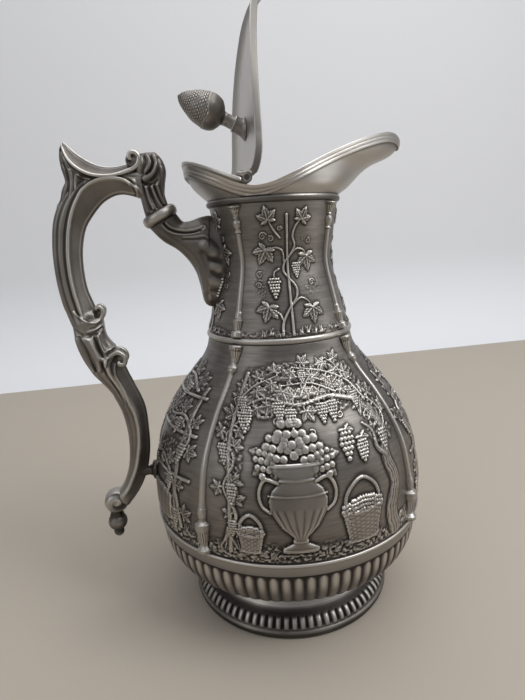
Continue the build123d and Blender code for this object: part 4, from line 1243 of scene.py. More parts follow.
def knuckleRow(first, side):
    # P-shaped tubes along Y: barrel with a tangent leaf, bored for the pin
    size = hingeSize
    radius, leaf = size["radius"], size["leaf"]
    low = radius - size["thickness"]
    start = math.asin(low / radius)
    outline = [(0.0, radius), (1.2, radius), (2.4, radius), (leaf - 0.2, radius), (leaf, radius - 0.2)]
    outline += [(leaf, low + 0.1), (leaf - 0.1, low), (2.6, low)]
    straight = len(outline)
    a = start - np.arange(32) / 32 * (start + 1.5 * math.pi)
    outline = np.concatenate([outline, radius * np.stack([np.cos(a), np.sin(a)], -1)])
    turn = np.unwrap(np.arctan2(outline[:, 1], outline[:, 0]))
    bore = size["bore"] * np.stack([np.cos(turn), np.sin(turn)], -1)
    pitch = 2 * size["halfLength"] / size["knuckles"]
    bevel = size["bevel"]
    small = outline * (1 - bevel / radius)
    rings = np.array([small, outline, outline, small, bore, bore])
    # each knuckle's ends painted dark as shade in the gaps between knuckles, the leaf a little lighter than the barrel
    wearAndShade = sameAround([0.08, 0.4, 0.4, 0.08, 0.4, 0.4], len(outline))
    wearAndShade[:, :straight] = 0.5
    parts = []
    for index in range(first, size["knuckles"], 2):
        y0 = -size["halfLength"] + index * pitch + size["gap"] / 2
        y1 = y0 + pitch - size["gap"]
        ys = sameAround([y0, y0 + bevel, y1 - bevel, y1, y1, y0], len(outline))
        points = np.stack([hingeAt[0] + side * rings[..., 0], ys, hingeAt[2] + rings[..., 1]], -1)
        parts.append((points, loopFaces(points), wearAndShade))
    return joined(*parts)


coverSize = {"thickness": 1.4, "rows": 60, "gap": 0.02, "end": 17.3}
lidSize = {
    "open": 64.0,
    "gap": 0.12,
    "thickness": 2.9,
    "field": 1.12,
    "border": 3.6,
    "start": -12.7,
    "rows": 210,
}


def makeCover(size):
    # flat plate with bevelled edges behind the hinge, and the outer knuckles
    thick = size["thickness"]

    def top(x, wide):
        # flat between two bevelled edges
        ys = np.concatenate([[-wide, -wide + 0.05], np.linspace(-wide + 0.35, wide - 0.35, 21), [wide - 0.05, wide]])
        ys = np.clip(ys, -wide, wide)
        zs = np.concatenate([[0.3, thick - 0.25], np.full(21, thick), [thick - 0.25, 0.3]])
        # the bevels painted brighter than the flat as a highlight along the edges
        shade = [0.5, 0.75] + [0.56] * 21 + [0.75, 0.5]
        return list(zip(ys, zs)), shade

    t = np.linspace(0, 1, size["rows"])
    xs = -rimSize["rear"] * np.cos(t * math.acos(size["end"] / rimSize["rear"]))
    makePlate("rearCover", "rear_cover", "jug", xs, size["gap"], top, 0, knuckleRow(0, -1))


def lidTop(x, wide):
    # raised border, a step down by a cove, and the sunk field
    size = lidSize
    field = min(planWidth(x, size["border"]), wide - 0.5)
    lowered = field > 0.4
    sink = size["field"] if lowered else size["thickness"]
    field = max(field, 0.02)
    rim = size["thickness"]
    left = [(-wide, 0.5), (-wide, rim - 0.5), (-wide + 0.06, rim - 0.15), (-wide + 0.3, rim), (-wide + 0.7, rim)]
    left = [(min(y, -0.001), z) for y, z in left]
    flat = max(wide - 0.9, 0.01)
    inner = np.linspace(-flat, flat, 57)
    # cove: z = sunk + (rim - sunk) (1 - t)^2, t from the edge's flat to 1.6 mm inside the field
    t = np.clip((flat - np.abs(inner)) / (wide - field + 0.7), 0, 1)
    zs = sink + (rim - sink) * (1 - t) ** 2
    # the side rows painted dark as shade and the top corner bright as a highlight; the cove into the field painted a
    # little darker as shade
    shade = [0.12, 0.14, 0.5, 0.95, 0.7]
    middle = list(zip(inner, zs))
    middleShade = [0.66 - 0.1 * math.sin(math.pi * k) for k in t]
    right = [(-y, z) for y, z in left[::-1]]
    return left + middle + right, shade + middleShade + shade[::-1]


def makeLid(size):
    # plate from the hinge to the lip, the other knuckles and the disc for the nut, swung open
    xs = size["start"] + (rimSize["front"] - size["start"]) * np.sin(np.linspace(0, 1, size["rows"]) * math.pi / 2)
    back = -math.radians(size["open"])
    makePlate("lidPlate", "lid", "lid_group", xs, size["gap"], lidTop, back, knuckleRow(1, 1), bossDisc())


def bossDisc():
    # disc under the lid that the finial's nut bears on
    x, radius = finialSize["x"], 3.4
    low = float(saddleHeight(x - radius)) - 0.4
    top = float(saddleHeight(x)) + lidSize["gap"] + 0.3
    profile = np.array([(0.01, low), (radius - 0.3, low), (radius, low + 0.3), (radius, top), (0.01, top)])
    points = turned(profile, around(48))
    points[..., 0] += x
    return points, loopFaces(points), np.full(points.shape[:2], 0.5)


finialSize = {
    "x": 6.5,
    "stemHeight": 9.6,
    "footRadius": 4.2,
    "neckRadius": 2.2,
    "budLength": 19.0,
    "budRadius": 6.9,
    "grainRows": 24,
    "grains": 26,
}


def makeFinial(size):
    # turned stem, then the bud: smooth sepals below and half-ball grains in staggered rows above
    back = -math.radians(lidSize["open"])
    x = size["x"]
    fieldZ = float(saddleHeight(x)) + lidSize["field"]
    a = around(72)
    foot, neck, tall = size["footRadius"], size["neckRadius"], size["stemHeight"]
    outline = smoothLine(
        [
            (foot, 0.25), (foot - 0.3, 0.6), (foot - 0.8, 1.3), (neck + 0.95, 2.6), (neck + 0.9, 3.9),
            (neck + 0.95, 4.5),
        ],
        26,
    )
    ring = np.array([(neck + 1.1, 4.6), (neck + 1.1, 4.9), (neck + 0.85, 5.1), (neck + 0.4, 5.15), (neck + 0.3, 5.3)])
    top = np.array([(neck + 0.25, 8.2), (neck + 0.5, tall), (1.26, tall), (1.26, 0.2)])
    profile = np.concatenate([[(foot, 0.2)], outline, ring, top])
    points = turned(profile, a)
    rise = points[..., 2].copy()
    points[..., 0] += x
    points[..., 2] += fieldZ
    # the foot follows the sloping field
    slope = saddleHeight(points[..., 0]) - saddleHeight(np.full_like(points[..., 0], x))
    points[..., 2] += slope * np.clip(1 - rise / 2.5, 0, 1)
    wearAndShade = np.full(points.shape[:2], 0.5)
    # the ring's rows painted bright as a highlight
    wearAndShade[27:31] = 0.75
    makePiece("finialStem", "finial_stem", swung(points, back), loopFaces(points), wearAndShade, body="lid_group")

    budZ = fieldZ + tall
    length, wide = size["budLength"], size["budRadius"]
    outside = smoothLine(
        [
            (neck + 0.5, 0), (0.6 * wide, 0.04 * length), (0.86 * wide, 0.12 * length), (wide, 0.26 * length),
            (0.98 * wide, 0.4 * length), (0.88 * wide, 0.57 * length), (0.6 * wide, 0.77 * length),
            (0.29 * wide, 0.925 * length), (0.02, length - 0.1),
        ],
        170,
    )
    inside = np.array([(1.26, length / 3), (1.26, 0)])
    profile = np.concatenate([outside, inside])
    rise = profile[:, 1] / length
    a = around(240)
    body = np.zeros(len(profile))
    body[: len(outside)] = 1
    # smooth sepals up to rise 0.36 + 0.07 cos(a) + 0.05 |cos 2.5 a|, fine grains beyond
    border = 0.36 + 0.07 * np.cos(a - 0.6) + 0.05 * np.abs(np.cos(2.5 * a))
    grainy = body[:, None] * ease(rise[:, None] - border[None, :], -0.01, 0.015)
    row = rise[:, None] * size["grainRows"]
    column = a[None, :] / (2 * np.pi) * size["grains"] + 0.5 * (np.floor(row) % 2)
    u = np.mod(column, 1.0) - 0.5
    v = np.mod(row, 1.0) - 0.5
    grain = np.sqrt(np.clip(1 - (u / 0.5) ** 2 - (v / 0.5) ** 2, 0, 1))
    uneven = 0.6 + 0.4 * np.cos(np.floor(row) * 5.1 + np.floor(column) * 2.3 + 1.7 * np.sin(np.floor(column) * 3.7))
    relief = grainy * ((grain - 0.6) * uneven * 0.3 * np.clip((1.02 - rise[:, None]) * 4, 0, 1) - 0.12)
    lip = np.exp(-(((rise[:, None] - border[None, :] + 0.012) / 0.012) ** 2)) * body[:, None]
    relief = relief + 0.14 * lip
    points = turned(profile, a, relief)
    points[..., 0] += x
    points[..., 2] += budZ
    wearAndShade = np.clip(0.46 + grainy * ((grain - 0.55) * uneven * 0.5 + 0.04) + 0.12 * lip, 0, 1)
    makePiece("finialBud", "finial_bud", swung(points, back), loopFaces(points), wearAndShade, body="lid_group")


makeCollar(rimSize)
makeCover(coverSize)
makeLid(lidSize)
makeFinial(finialSize)
for node in ("hinge_pin", "finial_stud", "finial_nut"):
    for holder in bpy.context.scene.objects:
        if holder.name == node and holder.type == "MESH":
            holder.data.materials.clear()
            holder.data.materials.append(steel)
print("rim, lid and finial made")


# Handle: cast in sections; its carving is drawn in the middle plane and stands alike on both sides

handleAt = np.array([-23.4, 149.9])  # place from which x and z are measured, at the neck's waist
ringSize = {"heading": 116.6, "at": (-22.9, 20.1), "radius": 7.35, "half": 2.28}

# stations: x, z, thickness, width, heading in degrees from +X to +Z
# lines: points, width at the start and at the end, height of the ridge or depth of the groove
bracketSize = {
    "stations": [
        (-21.87, 18.04, 12.0, 9.6, -63.4), (-18.4, 14.0, 11.4, 9.6, -51), (-15.0, 12.2, 11.9, 10.8, -27),
        (-12.0, 10.4, 15.4, 12.0, -14), (-9.0, 8.4, 21.3, 13.5, -10), (-6.4, 5.4, 28.5, 15.0, -11),
        (-5.2, 1.4, 36.0, 15.0, -7), (2.0, 0.6, 37.0, 15.0, 0),
    ],
    "lines": [
        ([(-20.9, 17.1), (-19.4, 15.6), (-16.7, 14.3), (-13.7, 13.7), (-10.4, 13.9), (-7.8, 14.6), (-6.2, 15.3),
          (-5.4, 14.7), (-6.4, 13.9)], 0.8, 0.6, 0.5),
        ([(-21.9, 17.2), (-20.2, 15.2), (-17.4, 13.7), (-14.0, 13.1), (-10.4, 13.2), (-7.8, 13.9)], 0.5, 0.5, -0.6),
        ([(-22.5, 16.4), (-20.8, 14.5), (-18.2, 13.0), (-14.4, 12.4), (-10.5, 12.5), (-7.9, 13.0)], 0.6, 0.5, 0.4),
        ([(-14.5, 11.3), (-10.6, 11.2), (-7.2, 11.4), (-5.6, 11.2), (-4.9, 10.3)], 0.5, 0.5, 0.4),
        ([(-15.0, 10.6), (-10.6, 10.4), (-7.0, 10.5), (-5.6, 10.2)], 0.5, 0.5, -0.35),
        ([(-6.2, 8.0), (-4.9, 7.0), (-3.4, 5.0)], 3.0, 3.0, 0.9),
        ([(-5.0, 2.5), (-2.9, 1.6), (-0.6, 1.2)], 0.8, 1.1, -0.45),
        ([(-3.6, -0.5), (-2.5, -0.9), (-1.4, -1.8)], 2.4, 2.4, 0.6),
        ([(-4.6, -3.0), (-3.3, -4.0), (-1.2, -4.9)], 0.7, 1.0, -0.4),
        ([(-4.4, -6.8), (-3.4, -7.4), (-2.2, -7.8)], 2.2, 2.2, 0.5),
        ([(-5.4, -10.3), (-4.2, -10.7), (-2.4, -10.9)], 0.6, 0.9, -0.35),
        ([(-6.2, -13.0), (-5.6, -14.2)], 1.5, 1.3, 0.5),
        ([(-8.3, 5.0), (-7.2, -1.0), (-7.1, -8.0), (-7.0, -13.0)], 1.0, 0.8, -0.35),
        ([(-26.0, 15.8), (-22.0, 12.6), (-16.5, 8.2), (-12.6, 4.6), (-9.9, 0.2), (-8.6, -5.0), (-8.2, -11.0)],
         1.2, 0.7, 0.3),
    ],
}
knuckleSize = {
    "stations": [
        (-23.93, 22.16, 10.2, 9.6, 116.6), (-24.9, 27.2, 9.6, 9.5, 100), (-25.2, 32.1, 11.0, 9.9, 91),
        (-25.2, 37.5, 12.6, 11.0, 90), (-25.6, 41.2, 10.9, 9.9, 94), (-25.9, 43.6, 7.4, 6.5, 95),
    ],
    "lines": [
        ([(-25.7, 42.4), (-24.7, 40.6), (-24.9, 38.9), (-26.8, 36.7)], 1.0, 1.4, 0.7),
        ([(-23.2, 42.0), (-22.4, 40.0), (-22.9, 38.0), (-24.2, 35.6), (-27.2, 33.9)], 1.0, 1.7, 1.2),
        ([(-24.2, 41.8), (-23.7, 39.4), (-24.4, 37.4), (-26.4, 35.7)], 0.4, 0.5, -0.5),
        ([(-26.7, 41.8), (-27.0, 39.1), (-28.0, 36.2)], 0.7, 0.7, -0.8),
        ([(-21.6, 41.1), (-21.5, 37.9), (-22.6, 34.6), (-24.4, 32.7)], 0.8, 0.9, -0.7),
        ([(-28.6, 33.0), (-26.4, 31.9), (-24.4, 32.2), (-22.6, 33.4)], 0.6, 0.6, -0.8),
        ([(-29.3, 31.0), (-28.8, 28.2), (-28.1, 25.0), (-27.3, 22.0)], 0.9, 0.7, 0.5),
        ([(-27.2, 31.2), (-26.7, 28.2), (-26.1, 25.4), (-25.1, 22.8)], 0.8, 0.7, 0.65),
        ([(-25.0, 31.2), (-24.1, 28.1), (-23.2, 25.7), (-21.9, 23.3)], 0.8, 0.7, 0.65),
        ([(-23.0, 31.6), (-21.9, 28.0), (-20.7, 24.7)], 0.9, 0.7, 0.5),
        ([(-28.2, 31.2), (-27.7, 28.2), (-27.0, 25.2), (-26.2, 22.4)], 0.4, 0.35, -0.3),
        ([(-26.1, 31.2), (-25.4, 28.2), (-24.6, 25.6), (-23.5, 23.0)], 0.45, 0.35, -0.6),
        ([(-24.0, 31.4), (-23.0, 28.0), (-22.0, 25.2), (-20.9, 23.5)], 0.45, 0.35, -0.6),
        ([(-20.6, 38.0), (-20.4, 34.0), (-20.8, 30.0), (-21.2, 27.6)], 0.9, 0.6, 0.4),
    ],
}
cupRim = [
    (-60.6, -14.6), (-59.9, -15.2), (-58.6, -16.8), (-56.8, -18.1), (-54.5, -19.5), (-52.6, -20.0), (-50.6, -19.0),
    (-49.1, -17.1), (-48.6, -15.0),
]
cupLines = [
    ([(-60.2, -15.0), (-58.6, -16.8), (-56.8, -18.1), (-54.5, -19.5), (-52.6, -20.0), (-50.6, -19.0), (-49.1, -17.1),
      (-48.9, -15.1), (-49.9, -13.8), (-51.2, -14.1)], 0.6, 0.7, 0.5),
    ([(-50.6, -15.6), (-50.7, -15.3)], 0.9, 0.9, 0.8),
    ([(-54.6, -17.6), (-52.6, -17.6), (-51.4, -16.9)], 0.9, 0.9, -0.9),
]
gripSize = {
    "stations": [
        (-28.6, 32.3, 11.0, 9.5, 182), (-36.9, 32.7, 7.6, 9.5, 181), (-44.2, 31.4, 9.4, 9.5, 196),
        (-52.0, 27.0, 12.6, 9.5, 221), (-57.1, 19.7, 12.2, 9.5, 244), (-59.5, 10.3, 11.3, 9.5, 258),
        (-60.1, 1.2, 10.9, 9.5, 269), (-59.6, -7.3, 10.9, 9.5, 277), (-58.0, -14.3, 11.4, 9.5, 286),
        (-55.8, -19.6, 12.7, 12.0, 286),
    ],
    "fillet": [
        (0, 0.55), (0.04, 0.3), (0.064, 0.0), (0.083, -0.24), (0.104, -0.41), (0.131, -0.57), (0.169, -0.66),
        (0.208, -0.66), (0.249, -0.58), (0.294, -0.4), (0.335, -0.2), (0.38, -0.08), (0.43, 0.02), (0.48, 0.09),
        (0.58, 0.12), (0.73, 0.12), (0.81, 0.13), (0.884, 0.1), (0.954, 0.0), (1, -0.05),
    ],
    "live": [(0, 0), (0.05, 1), (0.95, 1), (1, 0)],
    "soft": 0.9,
    "bead": 0.66,
    "lines": cupLines + [
        ([(-58.9, 31.6), (-59.7, 29.2), (-60.2, 27.2)], 0.9, 0.6, 0.5),
        ([(-58.2, 32.4), (-58.4, 32.0)], 0.8, 0.8, 0.5),
        ([(-60.6, 26.0), (-60.8, 25.4)], 0.7, 0.7, 0.5),
        ([(-31.6, 33.4), (-30.7, 30.9), (-30.5, 27.7)], 0.9, 0.7, 0.5),
        ([(-32.6, 32.0), (-31.8, 29.8), (-31.6, 27.4)], 0.5, 0.5, -0.5),
    ],
}
leafSize = {
    "stations": [
        (-55.8, -19.6, 12.7, 12.0, 286), (-55.2, -27.2, 12.4, 12.0, 281), (-52.6, -33.6, 13.9, 12.0, 292),
        (-50.2, -38.6, 14.2, 11.4, 297), (-48.5, -42.6, 12.2, 9.7, 298), (-46.75, -46.0, 10.9, 8.5, 298),
        (-45.2, -49.2, 10.2, 8.2, 297),
    ],
    "fillet": [(0, 0.1), (0.6, 0.05), (0.75, -0.1), (1, -0.08)],
    "live": [(0, 0), (0.42, 0), (0.66, 1), (1, 1)],
    "soft": 0.4,
    "bead": 1.1,
    "lines": cupLines + [
        ([(-55.5, -23.2), (-53.0, -22.7), (-51.0, -21.8), (-49.2, -20.3), (-48.2, -18.6)], 0.5, 0.5, 0.45),
        ([(-54.5, -22.0), (-52.4, -21.7), (-50.4, -20.6), (-49.2, -19.3)], 0.35, 0.35, -0.4),
        ([(-61.2, -22.4), (-57.6, -24.6), (-53.9, -24.7), (-51.1, -23.3), (-48.0, -21.3)], 0.8, 0.8, -1.1),
        ([(-56.9, -25.8), (-55.6, -28.4), (-54.2, -32.3), (-53.3, -35.5), (-53.0, -39.4)], 2.1, 1.3, 1.1),
        ([(-59.4, -25.4), (-58.2, -28.5), (-57.1, -32.4), (-55.9, -36.3), (-54.8, -40.0)], 0.8, 0.5, -1.0),
        ([(-53.4, -25.6), (-52.8, -28.3), (-51.9, -31.7), (-51.0, -34.0)], 0.6, 0.5, -1.0),
        ([(-60.7, -26.2), (-59.8, -30.5), (-58.3, -35.0), (-55.8, -39.8)], 1.3, 0.9, 0.6),
        ([(-52.1, -24.9), (-51.7, -27.4), (-51.2, -29.8), (-50.3, -32.2)], 0.5, 0.55, 0.7),
        ([(-50.3, -32.2), (-48.6, -31.4), (-46.3, -30.6)], 0.5, 0.5, 0.6),
        ([(-49.3, -24.5), (-49.1, -27.0), (-48.2, -29.3)], 1.3, 1.3, -0.9),
        ([(-50.8, -38.0), (-50.1, -35.4), (-47.9, -33.5), (-45.1, -32.9), (-42.8, -34.1), (-41.8, -36.4),
          (-42.9, -38.2), (-44.5, -37.7), (-44.9, -36.5)], 0.9, 0.6, 0.8),
        ([(-49.4, -33.9), (-47.4, -32.2), (-44.6, -31.5), (-42.0, -32.6)], 0.5, 0.5, -0.6),
        ([(-45.6, -35.4), (-47.1, -36.0), (-48.3, -38.8), (-48.2, -42.9), (-46.7, -46.6), (-45.2, -50.6),
          (-43.9, -55.6)], 0.45, 0.15, -0.5),
        ([(-44.9, -36.8), (-46.5, -37.1), (-47.4, -39.3), (-47.3, -42.9), (-45.9, -46.6), (-44.3, -50.9),
          (-42.9, -56.0)], 0.6, 0.15, 0.6),
        ([(-52.0, -36.0), (-51.0, -40.5), (-49.0, -45.5), (-46.9, -50.6), (-45.3, -56.0)], 0.6, 0.15, -0.5),
    ],
}
tailSize = {
    "stations": [
        (-45.2, -49.2, 10.2, 8.2, 297), (-42.0, -58.7, 10.0, 8.2, 283), (-41.1, -68.9, 9.0, 8.2, 272),
        (-41.5, -78.5, 8.7, 8.2, 262), (-43.3, -87.2, 8.2, 8.2, 254), (-46.9, -95.0, 7.6, 8.2, 240),
        (-51.2, -100.2, 7.4, 8.2, 226),
    ],
    "fillet": [
        (0, -0.08), (0.13, 0.0), (0.23, 0.1), (0.34, 0.14), (0.44, 0.06), (0.55, -0.08), (0.66, -0.2), (0.78, -0.35),
        (1, -0.4),
    ],
    "live": [(0, 1), (0.9, 1), (1, 0)],
    "soft": 0.4,
    "bead": 1.1,
    "buried": 1.2,
    "lines": leafSize["lines"],
}


def carved(x, z, lines):
    # ridge h (1 - q^2)^1.4 or groove h exp(-q^2), with q = distance to the line over its width there
    ridge, groove = np.zeros_like(x), np.zeros_like(x)
    for points, wide, narrow, height in lines:
        line = smoothLine(points, 7 * len(points))
        widths = np.linspace(wide, narrow, len(line))
        q = np.full_like(x, 9.0)
        for k in range(len(line) - 1):
            a, e = line[k], line[k + 1] - line[k]
            t = np.clip(((x - a[0]) * e[0] + (z - a[1]) * e[1]) / max(e @ e, 1e-9), 0, 1)
            far = np.hypot(x - a[0] - t * e[0], z - a[1] - t * e[1])
            q = np.minimum(q, far / (widths[k] + t * (widths[k + 1] - widths[k])))
        if height > 0:
            ridge = np.maximum(ridge, height * np.clip(1 - q**2, 0, 1) ** 1.4)
        else:
            groove = np.minimum(groove, height * np.exp(-np.minimum(q, 6) ** 2))
    return ridge + groove


def plainFlank(u, v, thick, size):
    # full width, no relief, one even tone all over
    return np.ones_like(u * v), np.zeros_like(u * v), np.full_like(u * v, 0.42)


def hollowFlank(u, v, thick, size):
    # soft reeds, a fillet at v = f, then a hollow face: width 1 - 0.56 (1 - (1 - t)^1.7) to the inner edge
    table = np.array(size["fillet"])
    f = np.interp(u, table[:, 0], table[:, 1])
    live = np.interp(u, *np.array(size["live"]).T)
    t = np.clip((v - f) / (1 - f), 0, 1)
    share = 1 - live * 0.56 * (1 - (1 - t) ** 1.7)
    a = (v - f) * thick / 2
    outer = (f + 1) * thick / 2
    room = ease(outer, 2.2, 4.2)
    s = (v + 1) / (f + 1)
    soft = size["soft"]
    bead = np.exp(-((a / size["bead"]) ** 2))
    cut = np.exp(-(((a + 1.3) / 0.55) ** 2)) * soft
    reed = np.exp(-(((s - 0.36) * outer / 0.6) ** 2)) * room * soft
    edge = np.exp(-((((1 - v) * thick / 2 - 0.9) / 0.35) ** 2)) * soft
    height = live * (0.45 * bead - 0.55 * cut - 0.35 * reed + 0.18 * edge)
    # the fillet's bead and the inner edge painted bright as highlights; the cut, the reed and the hollow face painted
    # dark as shade
    shade = 0.5 + live * (0.25 * bead - 0.2 * cut - 0.12 * reed - 0.08 * ease(a, 0.4, 1.4) + 0.16 * edge)
    return share, height, shade


def makeLimb(name, node, size, rows, half, power, flank, keepOff=None):
    # loops across a curve: v = -cos runs from outer to inner edge, half width (1 - |v|^p)^(1/p) times the flank
    table = np.array(size["stations"], float)
    t = runAlong(table[:, :2])
    u = np.linspace(0, 1, rows)
    s = smoothTable(u * t[-1], t, table)
    heading = np.radians(s[:, 4])
    v = -np.cos((np.arange(half) + 0.5) / half * np.pi)
    share, height, shade = flank(u[:, None], v[None, :], s[:, 2][:, None], size)
    wide = s[:, 3][:, None] / 2
    bend = np.linspace(*power, rows)[:, None]
    full = (1 - np.abs(v)[None, :] ** bend) ** (1 / bend)
    y = wide * share * full
    inward = s[:, 2][:, None] / 2 * v[None, :]
    x = s[:, 0][:, None] - inward * np.sin(heading)[:, None]
    z = s[:, 1][:, None] + inward * np.cos(heading)[:, None]
    if name == "grip":  # above the cup's rim the grip keeps its own width
        above = ease(z - np.interp(x, *np.array(cupRim).T), -0.3, 0.3) * (z < -8) * (x < -48)
        height = height - above * (wide - 4.75)
    height = height + carved(x, z, size["lines"]) * ease(full, 0.2, 0.7)
    side = np.stack([x + handleAt[0], y, z + handleAt[1]], -1)
    points = bothSides(side, overY)
    height = bothSides(height)
    normal = loopNormals(points)
    outward = points - points.mean(1, keepdims=True)
    if (normal * outward).sum() < 0:
        normal = -normal
    points = points + normal * height[..., None]
    if keepOff is not None:
        points = keepOff(points)
    # raised carving lighter and grooves darker: rubbed high points and patina, with painted highlight and painted
    # shade as well
    shade = bothSides(shade) + 0.5 * (height - blurred(height, 8, True))
    if size.get("buried"):  # smaller first loop inside the section before it
        centre = points[0].mean(0)
        back = np.array([math.cos(heading[0]), 0, math.sin(heading[0])]) * size["buried"]
        points = np.concatenate([[centre + (points[0] - centre) * 0.93 - back], points])
        shade = np.concatenate([shade[:1], shade])
    makePiece(name, node, points, tubeFaces(points), np.clip(shade, 0.03, 1), flat=(-2, -1))


def offTheNeck(points):
    # points inside the neck come out to half a millimetre under its surface
    line = neckMeridian(120)
    flat = points.reshape(-1, 3)
    wall = np.interp(flat[:, 2], line[:, 1], line[:, 0]) - 0.5
    r = np.hypot(flat[:, 0], flat[:, 1])
    turn = np.arctan2(flat[:, 1], flat[:, 0])
    keep = np.maximum(r, wall)
    return np.stack([keep * np.cos(turn), keep * np.sin(turn), flat[:, 2]], -1).reshape(points.shape)


def makeRingKnop(size):
    # round knop turned about the handle's line
    h = math.radians(size["heading"])
    axis = np.array([math.cos(h), 0, math.sin(h)])
    side = np.array([0, 1, 0])
    up = np.cross(axis, side)
    centre = np.array([handleAt[0] + size["at"][0], 0, handleAt[1] + size["at"][1]])
    a = around(96)
    b = np.linspace(-np.pi / 2, np.pi / 2, 25)
    radius = size["radius"] - 2.1 * (1 - np.cos(b) ** 0.9)
    radius = np.concatenate([[0.01], radius, [0.01]])
    along = np.concatenate([[-size["half"]], size["half"] * np.sin(b), [size["half"]]])
    ring = np.cos(a)[None, :, None] * side + np.sin(a)[None, :, None] * up
    points = centre + along[:, None, None] * axis + radius[:, None, None] * ring
    # a band round the knop's middle painted bright as a highlight, darker towards both faces
    wearAndShade = np.interp(np.arange(len(radius)), [0, 4, 13, 22, 26], [0.25, 0.42, 0.74, 0.42, 0.25])
    faces = gridFaces(len(radius), 96, 0, False, True)
    makePiece("handleRing", "handle_ring", points, faces, sameAround(wearAndShade, 96))


volutes = {
    # node, place, radius, half width, turns, hand, depth of the groove, rounding of the edge, share of the tone
    "ledgeScroll": ("handle_ledge", (-31.3, 41.0), 2.5, 3.7, 0.2, 1, 0, 0.6, 0.75),
    "cupScroll": ("handle_leaf", (-51.0, -16.7), 2.5, 2.7, 0.2, 1, 0, 1.2, 0.7),
    "leafScroll": ("handle_leaf", (-45.4, -36.0), 2.7, 4.0, 0.2, 1, 0, 1.2, 0.7),
    "tailCurl": ("handle_terminal", (-54.0, -100.6), 5.1, 4.4, 0.8, -1, 0.35, 3.0, 1.0),
}


def makeVolute(name):
    # disc across the handle; a spiral groove r = R (phase + hand a / 2 pi) / turns winds into both faces
    node, at, radius, half, turns, hand, depth, bend, bright = volutes[name]
    x, z = handleAt + np.array(at)
    flat = np.linspace(0.02, radius - bend, 40)
    turn = np.linspace(0.0, 1.5, 12)
    r = np.concatenate([flat, radius - bend + bend * np.sin(turn)])
    y = np.concatenate([np.full(len(flat), half), half - bend + bend * np.cos(turn)])
    a = around(120)
    spiral = np.mod(r[:, None] / radius * turns + hand * a[None, :] / (2 * np.pi), 1.0)
    groove = np.exp(-(((spiral - 0.5) / 0.2) ** 2)) * ease(r, 0.1 * radius, 0.3 * radius)[:, None]
    groove = groove * (1 - ease(r, radius - 0.9, radius - 0.3))[:, None]
    front = np.stack([x + r[:, None] * np.cos(a), y[:, None] - depth * groove, z + r[:, None] * np.sin(a)], -1)
    points = np.concatenate([front, front[::-1] * overY])
    # the spiral groove painted dark as shade, with a painted highlight band beside it
    shade = np.clip(0.55 - 0.4 * groove + 0.14 * np.exp(-(((spiral - 0.15) / 0.15) ** 2)), 0, 1)
    faces = gridFaces(len(points), 120, 0, False, True)
    makePiece(name, node, points, faces, np.concatenate([shade, shade[::-1]]) * bright)


ledgeSize = {
    "crest": [(-55.8, 48.4), (-54.7, 47.6), (-52.4, 45.1), (-49.8, 43.0), (-47.0, 41.2), (-44.0, 39.9), (-40.9, 39.3),
              (-37.8, 39.3), (-34.6, 39.9), (-31.8, 40.6)],
    "bead": [(-56.4, 47.3), (-56.1, 45.6), (-55.2, 43.0), (-53.4, 40.3), (-50.9, 38.1), (-47.6, 36.5), (-43.8, 35.8),
             (-39.6, 35.8), (-35.9, 36.4), (-32.2, 37.4)],
    "foot": [(-57.4, 45.4), (-57.6, 43.4), (-57.3, 41.2), (-55.4, 38.8), (-52.6, 36.9), (-49.2, 35.3), (-44.7, 34.4),
             (-40.0, 34.2), (-35.6, 34.6), (-31.4, 35.4)],
    "half": 4.35,
    "tipHalf": 2.5,
    "crestHalf": 1.25,
    "rows": 110,
}
# each curl has one even tone, lighter than the handle round it as a painted highlight
curlSizes = {
    "ledgeCurl": {
        "node": "handle_ledge",
        "line": [
            (-40.0, 35.8), (-36.1, 36.4), (-32.4, 37.5), (-30.1, 38.8), (-28.9, 40.6), (-28.8, 42.4), (-29.7, 43.6),
            (-31.1, 43.9), (-32.2, 43.1), (-32.2, 41.8), (-31.3, 41.3),
        ],
        "radii": (0.5, 0.85),
        "out": 3.85,
        "wearAndShade": 0.84,
    },
    "cupCurl": {
        "node": "handle_leaf",
        "line": [
            (-56.4, -19.0), (-54.5, -19.9), (-52.6, -20.2), (-50.7, -19.1), (-49.5, -17.3), (-49.3, -15.4),
            (-50.2, -14.1), (-51.5, -14.4), (-51.7, -15.5),
        ],
        "radii": (0.4, 0.85),
        "out": 3.0,
        "wearAndShade": 0.66,
    },
    "leafCurl": {
        "node": "handle_leaf",
        "line": [
            (-51.2, -39.6), (-50.2, -36.0), (-48.0, -33.9), (-45.3, -33.1), (-43.3, -34.3), (-42.6, -36.4),
            (-43.5, -38.2), (-45.1, -38.0), (-45.5, -36.6),
        ],
        "radii": (0.5, 1.0),
        "out": 4.3,
        "wearAndShade": 0.66,
    },
}
webSize = {
    # height, outer edge, inner edge
    "rows": [(44.6, -57.5, -56.2), (42.6, -57.85, -55.4), (40.8, -57.85, -54.2), (38.6, -57.7, -51.6),
             (36.6, -57.3, -48.6), (35.2, -57.1, -46.2), (34.0, -57.1, -46.6), (32.6, -57.9, -48.4),
             (31.0, -58.7, -50.2), (29.0, -59.3, -52.0), (27.0, -59.9, -53.2)],
    "half": 3.9,
    "lines": [
        ([(-50.6, 34.6), (-51.4, 33.2), (-52.0, 31.8)], 1.3, 0.6, -1.1),
        ([(-52.4, 36.3), (-52.9, 34.2), (-53.3, 31.0)], 0.5, 0.5, 0.5),
        ([(-52.0, 36.4), (-50.0, 35.2), (-47.6, 34.6)], 0.5, 0.4, 0.4),
        ([(-56.4, 40.6), (-55.6, 37.0), (-55.9, 32.0), (-57.6, 26.8)], 0.5, 0.5, -0.6),
        ([(-54.6, 38.0), (-54.2, 35.0), (-54.6, 31.6), (-56.2, 26.6)], 0.9, 0.8, 0.4),
    ],
}


